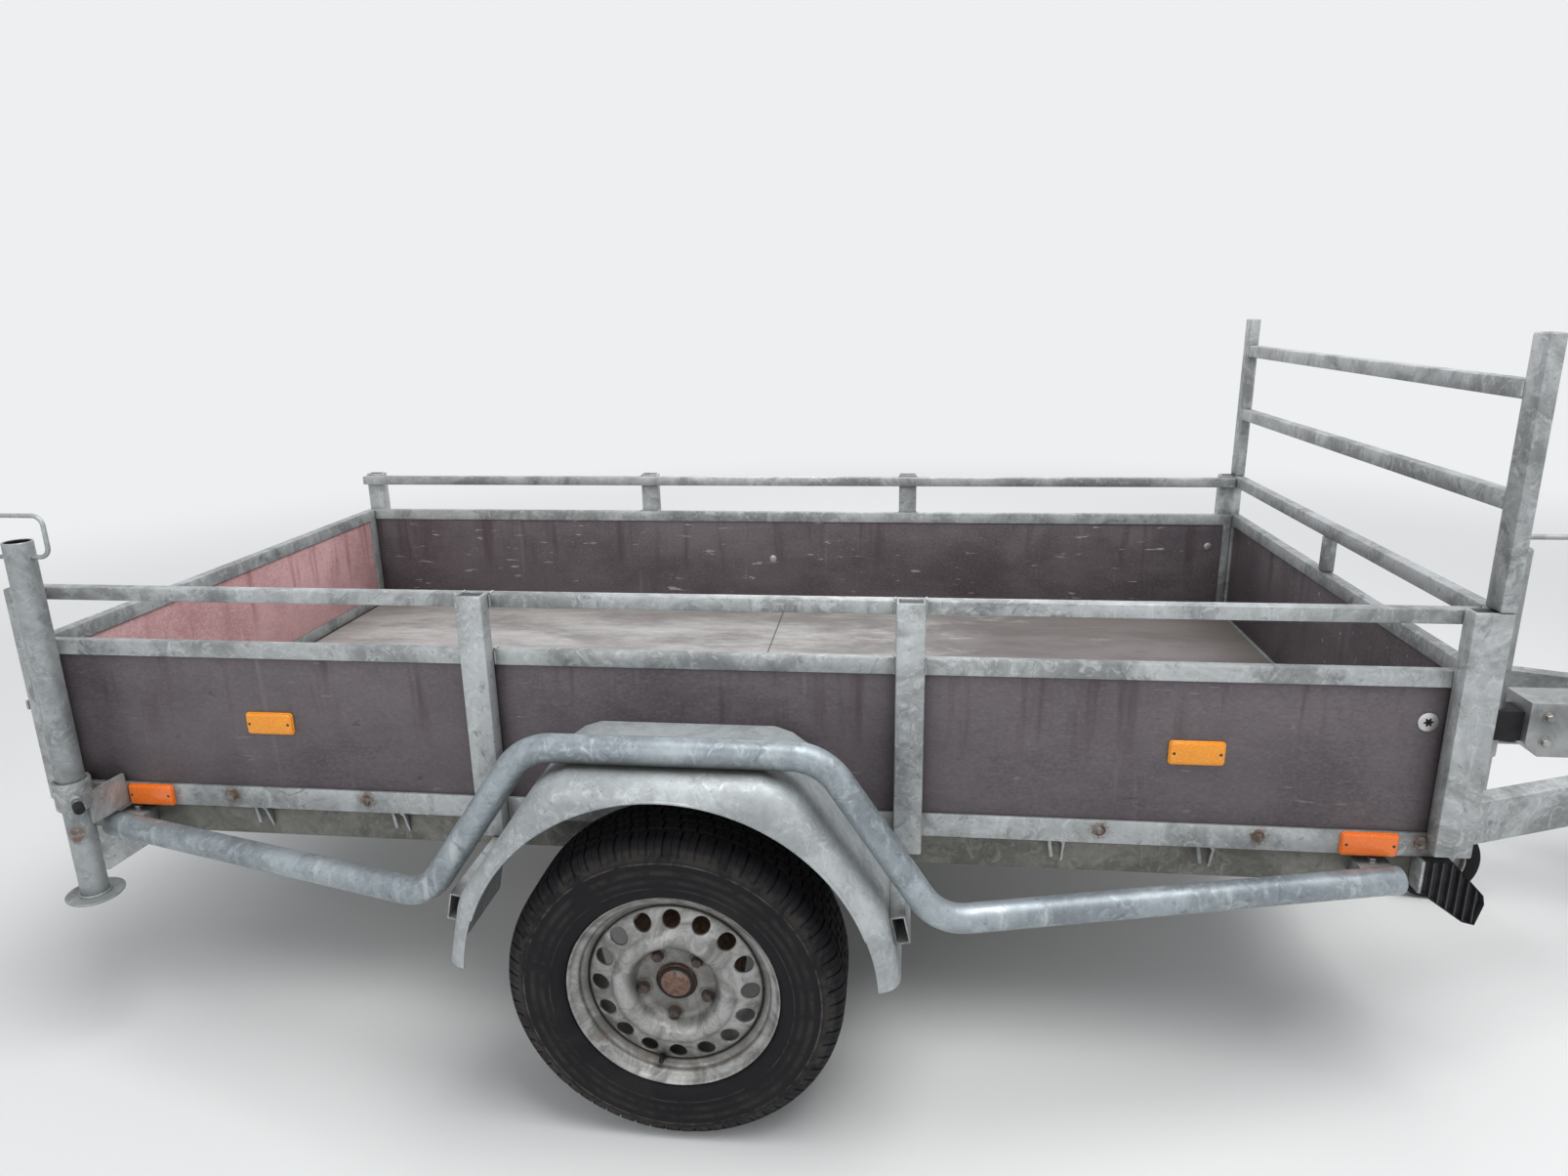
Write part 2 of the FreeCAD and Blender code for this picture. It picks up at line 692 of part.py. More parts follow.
def running_gear():
    """The axle tube with its pads, the swing arms with brake back plates, and the wheels."""
    half = axle_tube_size / 2
    tube = box(pivot_x - half, pivot_x + half, -arm_inner_y, arm_inner_y, pivot_z - half, pivot_z + half)
    pad_inner = beam_outer - beam_width
    pads = both([box(pivot_x - half, pivot_x + half, pad_inner, beam_outer, pivot_z + half, beam_bottom)])
    save("axle_tube", [fuse([tube] + pads)])

    arm_outer = arm_inner_y + arm_thickness
    ends = [faceted((x, arm_inner_y, z), (0, 1, 0), radius, arm_thickness, round_sides)
            for x, z, radius in ((pivot_x, pivot_z, arm_root_radius), (axle_x, axle_z, arm_end_radius))]
    root, tip = arm_root_radius - 2, arm_end_radius - 1
    web = prism_y([(pivot_x, pivot_z - root), (pivot_x, pivot_z + root), (axle_x, axle_z + tip),
                   (axle_x, axle_z - tip)], arm_inner_y, arm_outer)
    plate_face = drum_inner_y - running_gap
    plate_back = plate_face - back_plate_thickness
    spindle_end = hub_face_y - spindle_short
    boss = faceted((axle_x, arm_outer, axle_z), (0, 1, 0), arm_end_radius, plate_back - arm_outer,
                   round_sides)
    plate = faceted((axle_x, plate_back, axle_z), (0, 1, 0), drum_radius + 4, back_plate_thickness,
                    drum_sides)
    spindle = cylinder((axle_x, arm_outer, axle_z), (0, 1, 0), spindle_radius, spindle_end - arm_outer)
    save("swing_arms", both([fuse(ends + [web, boss, plate, spindle])]))

    # Outlines of (offset from the wheel's centre plane, radius)
    tyre_half = tyre_width / 2
    bead = rim_flange_radius + 2 * seat_gap
    quarter = ((rim_half_width + 4, bead), (tyre_half, bead + 18), (tyre_half, shoulder_radius),
               (tyre_half - 8, (shoulder_radius + wheel_radius) / 2 + 5), (tread_half_width, wheel_radius))
    tyre = [(-offset, radius) for offset, radius in quarter] + list(reversed(quarter))
    lip, well = rim_flange_radius, rim_inner_radius
    barrel = [(-rim_half_width, well), (-rim_half_width, lip), (rim_half_width, lip),
              (rim_half_width, lip - rim_lip_width), (rim_half_width - rim_lip_depth, well)]
    face = wheel_offset + rim_wall
    crest = face + ring_rise
    disc = [(face, hub_neck_radius + seat_gap), (face, ring_inner_radius),
            (crest, ring_inner_radius + ring_slope), (crest, ring_outer_radius - ring_slope),
            (face, ring_outer_radius), (face, well + 1), (wheel_offset, well + 1),
            (wheel_offset, hub_neck_radius + seat_gap)]
    drum_back = drum_inner_y - track_half
    cap_end = wheel_offset + hub_cap_reach
    bore_end = wheel_offset - spindle_short + 4
    for side, sign in SIDES:
        axis = Vector(axle_x, sign * track_half, axle_z)

        def outline(points):
            return [(sign * offset, radius) for offset, radius in points]

        def along(start, end, radius, make, *flats):
            foot = (axle_x, sign * (track_half + start), axle_z)
            return make(foot, (0, sign, 0), radius, end - start, *flats)

        rim = fuse([turned(outline(barrel), axis, wheel_sides), turned(outline(disc), axis, wheel_sides)])
        save(f"rim_{side}", [rim.cut(Part.makeCompound(wheel_vents(sign)))])
        save(f"tyre_{side}", [turned(outline(tyre), axis, wheel_sides)])
        drum = along(drum_back, wheel_offset, drum_radius, faceted, drum_sides)
        neck = along(wheel_offset - 1, cap_end, hub_neck_radius, faceted, wheel_sides)
        bore = along(drum_back - 1, bore_end, spindle_radius + fit_clearance, cylinder)
        save(f"hub_{side}", [fuse([drum, neck]).cut(bore)])


def wheel_vents(sign):
    """Oval vents round the disc, longer outwards than across."""
    vents = []
    for index in range(vent_count):
        spoke = 2 * math.pi * (index + 0.5) / vent_count
        ring = []
        for corner in range(vent_sides):
            angle = 2 * math.pi * (corner + 0.5) / vent_sides
            out = vent_circle + vent_length / 2 * math.cos(angle)
            side = vent_width / 2 * math.sin(angle)
            ring.append((axle_x + out * math.sin(spoke) + side * math.cos(spoke),
                         axle_z + out * math.cos(spoke) - side * math.sin(spoke)))
        vents.append(prism_y(ring, sign * track_half, sign * (track_half + rim_half_width)))
    return vents


def guard_path():
    """Corner points of one tube guard, on the left: ends at the chassis, feet and shoulders outside."""
    levels = {"end": (guard_end_y, guard_low_z), "foot": (guard_y, guard_low_z),
              "shoulder": (guard_y, guard_top_z)}
    points = []
    for name, along in guard_stations:
        y, z = levels[name.split()[1]]
        points.append(Vector(axle_x + along, y, z))
    return points


def mudguard_outline(bottom):
    lean = math.tan(math.radians(mudguard_end_lean))
    knee = mudguard_end_reach - lean * mudguard_end_height
    foot = mudguard_end_reach + lean * (mudguard_bottom - bottom)
    half = [(foot, bottom), (knee, mudguard_bottom + mudguard_end_height),
            (mudguard_shoulder_reach, mudguard_top)]
    points = [Vector(axle_x - x, 0, z) for x, z in half]
    points += [Vector(axle_x + x, 0, z) for x, z in reversed(half)]
    path = bend_points(points, mudguard_shoulder_bend)
    return Part.makePolygon(path + path[:1])


def rolled_block(wire, inner_y, outer_y, roll):
    """The outline swept across the wheel, with its outer edge rounded over."""
    face = Part.Face(wire)
    face.translate(Vector(0, inner_y, 0))
    block = face.extrude(Vector(0, outer_y - inner_y, 0))
    bottom = block.BoundBox.ZMin
    edges = []
    for edge in block.Edges:
        bounds = edge.BoundBox
        outside = abs(bounds.YMin - outer_y) < 0.01 and abs(bounds.YMax - outer_y) < 0.01
        if outside and bounds.ZMax > bottom + 0.01:
            edges.append(edge)
    return block.makeFillet(roll, edges)


def wheel_covers():
    """Mudguards, tube guards and what holds them."""
    low = mudguard_bottom - 60.0
    outer = rolled_block(mudguard_outline(low), mudguard_inner_y, mudguard_outer_y, mudguard_roll)
    inner_wire = mudguard_outline(low - 20.0).makeOffset2D(-mudguard_sheet)
    inner = rolled_block(inner_wire, mudguard_inner_y - 10, mudguard_outer_y - mudguard_sheet,
                         mudguard_roll - mudguard_sheet)
    shell = outer.cut(inner)
    reach = 2 * mudguard_end_reach
    shell = shell.cut(box(axle_x - reach, axle_x + reach, 0, mudguard_outer_y + 10, low - 50,
                          mudguard_bottom))
    shell = shell.cut(cylinder((axle_x, mudguard_outer_y - mudguard_roll - 20, mudguard_arch_z), (0, 1, 0),
                               mudguard_arch_radius, mudguard_roll + 30))
    path = guard_path()
    tube = bar(path, guard_radius, guard_bend, round_sides)

    lean = math.radians(mudguard_end_lean)
    top_corner = bracket_height / 2 * math.cos(lean) + bracket_width / 2 * math.sin(lean)
    bracket_z = mid_post_bottom - top_corner
    surface = mudguard_end_reach - math.tan(lean) * (bracket_z - mudguard_bottom)
    bracket_reach = surface + (bracket_width / 2 + seat_gap) / math.cos(lean)
    pieces = []
    for end in (-1, 1):
        half_w, half_h = bracket_width / 2, bracket_height / 2
        tube_box = box(-half_w, half_w, beam_outer, bracket_tip_y, -half_h, half_h)
        hollow = box(bracket_wall - half_w, half_w - bracket_wall, beam_outer - 1, bracket_tip_y + 1,
                     bracket_wall - half_h, half_h - bracket_wall)
        bracket = tube_box.cut(hollow)
        bracket.rotate(Vector(0, 0, 0), Vector(0, 1, 0), -end * mudguard_end_lean)
        bracket.translate(Vector(axle_x + end * bracket_reach, 0, bracket_z))
        pieces.append(bracket.cut(tube))
    for end_point in (path[0], path[-1]):
        inward = 1 if end_point == path[0] else -1
        x0, x1 = sorted((end_point.x + inward * 2, end_point.x + inward * guard_lug_length))
        lug = box(x0, x1, beam_outer, guard_end_y, guard_low_z - guard_lug_height / 2,
                  guard_low_z + guard_lug_height / 2)
        pieces.append(lug.cut(tube))
    save("guard_brackets", both(pieces))
    for side, sign in SIDES:
        save(f"mudguard_{side}", [sided(shell, sign)])
        save(f"tube_guard_{side}", [sided(tube, sign)])


def prop_stands():
    """A tube with a foot plate and a D handle slides in a clamp bolted to each rear corner.

    The right stand is carried raised and the left one is let down to the ground.
    """
    for side, sign, foot_z in (("right", -1, stand_lift), ("left", 1, 0.0)):
        top = foot_z + stand_length
        tube = cylinder((stand_x, stand_y, foot_z), (0, 0, 1), stand_radius, stand_length)
        foot = faceted((stand_x, stand_y, foot_z), (0, 0, 1), stand_foot_radius, stand_foot_thickness,
                       drum_sides)
        wide, low, high = handle_half_width, top - handle_drop, top + handle_rise
        loop = bar([Vector(stand_x, stand_y, low), Vector(stand_x - wide, stand_y, low),
                    Vector(stand_x - wide, stand_y, high), Vector(stand_x + wide, stand_y, high),
                    Vector(stand_x + wide, stand_y, low), Vector(stand_x, stand_y, low)],
                   handle_radius, handle_bend, slim_sides)
        save(f"stand_{side}", [sided(fuse([tube, foot, loop]), sign)])

    # The clamp: a ring, a plate bolted to the sill, two cheeks between them and a tommy bar
    outer = stand_radius + clamp_wall
    ring = faceted((stand_x, stand_y, clamp_bottom), (0, 0, 1), outer, clamp_height, round_sides)
    foot_z = sill_bottom + clamp_foot_above_sill
    plate_x, plate_y = stand_x - clamp_plate_back, rail_outer + clamp_wall
    plate = box(plate_x - clamp_plate_half, plate_x + clamp_plate_half, rail_outer, plate_y, foot_z, sill_top)
    cheeks = []
    for end in (-1, 1):
        foot_end, ring_end = plate_x + end * clamp_plate_half, stand_x + end * outer
        wall = end * clamp_wall
        cheeks.append(prism_z([(foot_end, plate_y), (ring_end, stand_y), (ring_end - wall, stand_y),
                               (foot_end - wall, plate_y)], foot_z, clamp_bottom + clamp_height / 2))
    root = Vector(stand_x + tommy_bar_ahead, stand_y + tommy_bar_ahead, clamp_bottom + tommy_bar_above)
    lean = Vector(1, 0.9, -0.15).normalize() * tommy_bar_length
    handle = bar([root, root + lean], tommy_bar_radius, 0, slim_sides)
    clamp = fuse([ring, plate, handle] + cheeks)
    bore = stand_radius + slide_clearance
    clamp = clamp.cut(faceted((stand_x, stand_y, clamp_bottom - clamp_height), (0, 0, 1), bore,
                              3 * clamp_height, round_sides))
    save("stand_clamps", both([clamp]))


def tailgate():
    """A framed board between the rear posts, hinged along its bottom edge."""
    outer = half_inner - gate_gap
    bottom = floor_top + gate_gap
    inner_x = gate_inner_x - gate_gap
    frame = box(rear_x, inner_x, -outer, outer, bottom, board_rail_top)
    window = box(rear_x - 1, inner_x + 1, gate_rail_height - outer, outer - gate_rail_height,
                 bottom + gate_rail_height, board_rail_top - gate_rail_height)
    frame = frame.cut(window)
    board_x = inner_x - gate_board_recess - board_thickness
    save("gate_board", [box(board_x, board_x + board_thickness, gate_rail_height - outer,
                            outer - gate_rail_height, bottom + gate_rail_height,
                            board_rail_top - gate_rail_height)])

    # Each hinge: one half turns with the gate, the other is fixed and carries the pin through both
    leaf_inner = rear_x - leaf_thickness
    knuckle_top = hinge_z + hinge_radius
    knuckle_low = hinge_z - hinge_radius
    half = hinge_length / 2
    moving, fixed = [], []
    for centre in (-hinge_y, hinge_y):
        y0, y1 = centre - half, centre - seat_gap
        leaf = prism_y([(rear_x, knuckle_top - leaf_thickness), (rear_x, bottom + leaf_height),
                        (leaf_inner, bottom + leaf_height), (leaf_inner, knuckle_top),
                        (hinge_x, knuckle_top), (hinge_x, knuckle_top - leaf_thickness)], y0, y1)
        knuckle = faceted((hinge_x, y0, hinge_z), (0, 1, 0), hinge_radius, y1 - y0, round_sides)
        bore = cylinder((hinge_x, y0 - 1, hinge_z), (0, 1, 0), hinge_pin_radius + fit_clearance, half + 2)
        moving.append(leaf.fuse(knuckle).cut(bore))
        y0, y1 = centre, centre + half
        leaf = prism_y([(rear_x, knuckle_low - leaf_height), (rear_x, knuckle_low + leaf_thickness),
                        (hinge_x, knuckle_low + leaf_thickness), (hinge_x, knuckle_low),
                        (leaf_inner, knuckle_low), (leaf_inner, knuckle_low - leaf_height)], y0, y1)
        knuckle = faceted((hinge_x, y0, hinge_z), (0, 1, 0), hinge_radius, half, round_sides)
        pin = cylinder((hinge_x, centre - half, hinge_z), (0, 1, 0), hinge_pin_radius, hinge_length)
        fixed.append(fuse([leaf, knuckle, pin]))
    save("gate_frame", [fuse([frame] + moving)])
    save("gate_hinges", fixed)

    plate_out = outer - 4
    plate = box(rear_x - latch_plate, rear_x, plate_out - latch_width, plate_out,
                latch_z - latch_half_height, latch_z + latch_half_height)
    knob_end = rear_x - latch_plate - latch_knob_length
    knob = faceted((knob_end, plate_out - latch_width / 2, latch_z), (1, 0, 0), latch_knob_radius,
                   latch_knob_length, round_sides)
    low, high = latch_z - latch_tongue_half_height, latch_z + latch_tongue_half_height
    keeper_in = rail_outer + 4
    tongue = box(knob_end - latch_tongue + 3, knob_end + 3, plate_out - latch_width / 2 - latch_knob_radius,
                 keeper_in + keeper_width, low, high)
    save("gate_latches", both([fuse([plate, knob, tongue])]))
    keeper = box(rear_x - latch_plate, rear_x, keeper_in, keeper_in + keeper_width, low, high)
    save("latch_keepers", both([keeper]))


def rear_lights():
    """The lamp bar hangs below the rear sill, with a gusset at each end and a lamp through each cut-out."""
    plate_x = rear_x + lamp_bar_setback
    bottom = beam_bottom - lamp_bar_height
    plate = box(plate_x, plate_x + lamp_bar_wall, -beam_outer, beam_outer, bottom, beam_bottom)
    lip = box(plate_x, plate_x + lamp_bar_lip, -beam_outer, beam_outer, bottom, bottom + lamp_bar_wall)
    gussets = both([prism_y([(plate_x, beam_bottom), (plate_x + gusset_length, beam_bottom),
                             (plate_x + lamp_bar_lip, bottom), (plate_x, bottom)],
                            beam_outer - lamp_bar_wall, beam_outer)])
    lamp_z = bottom + lamp_above_lip
    lamps = both([box(plate_x - lamp_proud, plate_x - lamp_proud + lamp_depth, lamp_y - lamp_width / 2,
                      lamp_y + lamp_width / 2, lamp_z, lamp_z + lamp_height)])
    rounded = []
    for lamp in lamps:
        edges = [edge for edge in lamp.Edges if edge.BoundBox.XMax < plate_x and edge.BoundBox.XLength < 0.1]
        rounded.append(lamp.makeChamfer(lamp_corner, edges))
    bar_solid = fuse([plate, lip] + gussets)
    for lamp in lamps:
        bar_solid = bar_solid.cut(lamp)
    save("lamp_bar", [bar_solid])
    save("rear_lamps", rounded)


def small_fittings():
    board_outer = rail_outer - board_recess
    length, depth, height = reflector_size
    # Reflectors: distance behind the headboard, height, face they sit on
    reflectors = (("board rear", 2142.0, 638.0, board_outer), ("board front", 446.0, 638.0, board_outer),
                  ("sill rear", 2413.0, 481.0, rail_outer), ("sill front", 149.0, 481.0, rail_outer))
    blocks = [box(front_x - back - length / 2, front_x - back + length / 2, face, face + depth,
                  z - height / 2, z + height / 2) for name, back, z, face in reflectors]
    save("side_reflectors", both(blocks))

    # Tarp pins are slim bars that lean forward, each with a gusset plate ahead of it
    pins, gussets = [], []
    for back in tarp_pin_stations:
        x, y = front_x - back, rail_outer - rail_depth / 2
        ring = []
        for corner in range(tarp_pin_sides):
            angle = 2 * math.pi * corner / tarp_pin_sides
            ring.append(Vector(x + tarp_pin_radius * math.cos(angle), y + tarp_pin_radius * math.sin(angle),
                               sill_bottom))
        foot = Part.Face(Part.makePolygon(ring + ring[:1]))
        pins.append(foot.extrude(Vector(tarp_pin_lean, 0, -tarp_pin_length)))
        x += gusset_ahead
        ring = [Vector(x, half_inner, sill_bottom), Vector(x, rail_outer - 1, sill_bottom),
                Vector(x, half_inner, sill_bottom - sill_gusset_height)]
        face = Part.Face(Part.makePolygon(ring + ring[:1]))
        gussets.append(face.extrude(Vector(sill_gusset_thickness, 0, 0)))
    save("tarp_pins", both(pins))
    save("sill_gussets", both(gussets))

    # The chock hangs on a bracket at the front end of the right beam, outside the drawbar leg
    front = front_x - beam_front_gap
    top, outer = sill_bottom - seat_gap, rail_outer + chock_outward
    back = front + chock_holder_thickness
    side = [(back, top), (front + chock_top_reach, top)]
    side += [(front + reach, beam_bottom + rise) for reach, rise in chock_nose]
    side.append((back, beam_bottom + chock_heel_rise))
    save("wheel_chock", [mirrored(prism_y(side, outer - chock_width, outer))])
    holder = box(front, back, beam_outer - beam_width, outer, beam_bottom + chock_heel_rise, top)
    save("chock_holder", [mirrored(holder)])


def build_all():
    side_panels()
    front_wall()
    chassis()
    save("drawbar_frame", [drawbar_frame()])
    overrun()
    handbrake()
    jockey()
    running_gear()
    wheel_covers()
    prop_stands()
    tailgate()
    rear_lights()
    small_fittings()


build_all()
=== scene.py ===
import random
from math import atan2, copysign, cos, pi, radians, sin, sqrt, tan
import bmesh
import bpy
from mathutils import Matrix, Vector


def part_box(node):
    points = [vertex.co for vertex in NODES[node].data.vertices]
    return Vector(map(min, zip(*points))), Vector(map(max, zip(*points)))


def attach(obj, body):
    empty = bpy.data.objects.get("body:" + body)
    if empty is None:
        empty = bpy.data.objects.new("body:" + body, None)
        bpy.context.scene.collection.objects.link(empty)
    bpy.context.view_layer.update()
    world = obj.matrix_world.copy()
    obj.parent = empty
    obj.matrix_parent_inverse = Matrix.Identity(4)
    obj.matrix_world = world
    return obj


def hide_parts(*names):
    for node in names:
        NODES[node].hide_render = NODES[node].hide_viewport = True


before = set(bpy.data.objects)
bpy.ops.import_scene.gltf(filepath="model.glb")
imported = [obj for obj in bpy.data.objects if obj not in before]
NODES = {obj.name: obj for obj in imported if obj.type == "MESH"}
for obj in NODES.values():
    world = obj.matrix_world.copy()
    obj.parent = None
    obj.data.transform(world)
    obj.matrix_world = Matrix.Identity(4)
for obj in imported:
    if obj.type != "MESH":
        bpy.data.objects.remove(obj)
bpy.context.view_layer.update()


def mid(node, axis):
    """The middle of a node's box along one axis."""
    low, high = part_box(node)
    return (low[axis] + high[axis]) / 2


# Places that come from the model, in metres
FRONT_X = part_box("front_frame")[1].x
REAR_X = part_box("rear_sill")[0].x
RAIL_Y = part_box("side_sills")[1].y
BOARD_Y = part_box("side_boards")[1].y
BOARD_INNER_Y = BOARD_Y - 0.012
POST_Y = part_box("side_posts")[1].y
POST_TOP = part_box("side_posts")[1].z
SILL_LOW, SILL_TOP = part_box("side_sills")[0].z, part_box("side_sills")[1].z
RAIL_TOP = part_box("side_rails")[1].z
RAILING_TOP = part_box("side_railings")[1].z
AXLE_X, WHEEL_Y, AXLE_Z = (mid("tyre_left", axis) for axis in range(3))
STAND_X, STAND_Y = (mid("stand_left", axis) for axis in range(2))
JOCKEY_X = mid("jockey_sleeve", 0)
MID_POSTS = (AXLE_X - 0.386, AXLE_X + 0.386)
LEVER_PIVOT = (FRONT_X + 0.6, 0.064, 0.494)
GUARD_REAR, GUARD_FRONT = -1.163, 1.216
HINGE_Y = 0.43

# Distances back from the front, and the bolts' height
SILL_BOLTS, SILL_BOLT_Z = (2.242, 1.966, 0.599, 0.331, 0.065), 0.486
PINS = (2.205, 1.922, 0.683, 0.426)

SIDES = (("right", -1), ("left", 1))
SIGNS = (-1, 1)
BACK, UP = (-1, 0, 0), (0, 0, 1)
BACKDROP = [("Color", (0.9, 0.91, 0.92, 1)), ("Strength", 0.95)]


# Camera, light and floor

def placed(name, data):
    """A new object in the scene."""
    thing = bpy.data.objects.new(name, data)
    bpy.context.scene.collection.objects.link(thing)
    return thing


def add_node(tree, kind, inputs=(), **values):
    """A node with its properties set; inputs are (index or name, socket or value)."""
    node = tree.nodes.new(kind)
    for key, value in values.items():
        setattr(node, key, value)
    for key, value in inputs:
        if isinstance(value, bpy.types.NodeSocket):
            tree.links.new(value, node.inputs[key])
        else:
            node.inputs[key].default_value = value
    return node


def camera_share(tree):
    """1 for what the camera sees, also by way of gloss and glass, and 0 for the other rays."""
    path = tree.nodes.new("ShaderNodeLightPath").outputs
    seen = path["Is Camera Ray"]
    for ray in ("Is Glossy Ray", "Is Transmission Ray"):
        seen = add_node(tree, "ShaderNodeMath", [(0, seen), (1, path[ray])], operation="MAXIMUM").outputs[0]
    return seen


def set_camera():
    """The photograph's viewpoint, behind the wheel on the trailer's right, looking slightly down."""
    place = (FRONT_X - 0.9566, -2.3039, 1.3873)
    yaw, pitch, roll = (radians(degrees) for degrees in (6.7474, 15.5806, -0.9696))
    sensor, focal_in_widths = 36.0, 0.6451
    data = bpy.data.cameras.new("camera")
    data.sensor_width = sensor
    data.lens = sensor * focal_in_widths
    camera = placed("camera", data)
    ahead = Vector((-sin(yaw) * cos(pitch), cos(yaw) * cos(pitch), -sin(pitch)))
    right = Vector((cos(yaw), sin(yaw), 0))
    up = right.cross(ahead)
    turned_right = right * cos(roll) + up * sin(roll)
    turned_up = up * cos(roll) - right * sin(roll)
    turn = Matrix((turned_right, turned_up, -ahead)).transposed()
    camera.matrix_world = Matrix.Translation(place) @ turn.to_4x4()
    bpy.context.scene.camera = camera


def set_light():
    """Soft studio light from above, a little from the camera's side."""
    world = bpy.data.worlds.new("studio")
    bpy.context.scene.world = world
    world.use_nodes = True
    tree = world.node_tree
    light = tree.nodes["Background"]
    light.inputs["Color"].default_value = (0.9, 0.94, 1.0, 1)
    light.inputs["Strength"].default_value = 0.46
    backdrop = add_node(tree, "ShaderNodeBackground", BACKDROP)
    mix = add_node(tree, "ShaderNodeMixShader",
                   [(0, camera_share(tree)), (1, light.outputs[0]), (2, backdrop.outputs[0])])
    tree.links.new(mix.outputs[0], tree.nodes["World Output"].inputs["Surface"])

    # Soft boxes: place, aim, size, power
    boxes = (("key", (0.8, -1.3, 5.9), (-0.9, 0.0, 0.4), 3.8, 272.0),
             ("side", (-2.2, -5.4, 2.8), (-0.7, 0.0, 0.5), 3.5, 62.0),
             ("back", (-0.5, 5.0, 3.4), (-0.6, 0.0, 0.5), 3.0, 60.0))
    for name, place, aim, size, power in boxes:
        lamp = bpy.data.lights.new(name, "AREA")
        lamp.energy, lamp.size = power, size
        holder = placed(name, lamp)
        holder.location = place
        holder.rotation_euler = (Vector(aim) - Vector(place)).to_track_quat("-Z", "Y").to_euler()


def set_floor():
    """A pale floor that turns into the backdrop far from the trailer, so that no horizon shows."""
    half = 30.0
    corners = [(-half, -half, 0), (half, -half, 0), (half, half, 0), (-half, half, 0)]
    mesh = bpy.data.meshes.new("studio_floor")
    mesh.from_pydata(corners, [], [(0, 1, 2, 3)])
    floor = placed("studio_floor", mesh)
    finish = Finish("studio_floor", (0.8, 0.8, 0.79), 0.85)
    finish.set("Base Color", (*finish.base, 1))
    away = finish.span(finish.distance(finish.coords, (0, 0, 0)), 2.6, 7.5)
    share = finish.times(away, camera_share(finish.tree))
    glow = finish.node("ShaderNodeEmission", BACKDROP)
    blend = finish.node("ShaderNodeMixShader",
                        [(0, share), (1, finish.shader.outputs[0]), (2, glow.outputs[0])])
    finish.tree.links.new(blend.outputs[0], finish.tree.nodes["Material Output"].inputs["Surface"])
    finish.put_on(floor)


# Materials: a small builder for procedural node trees

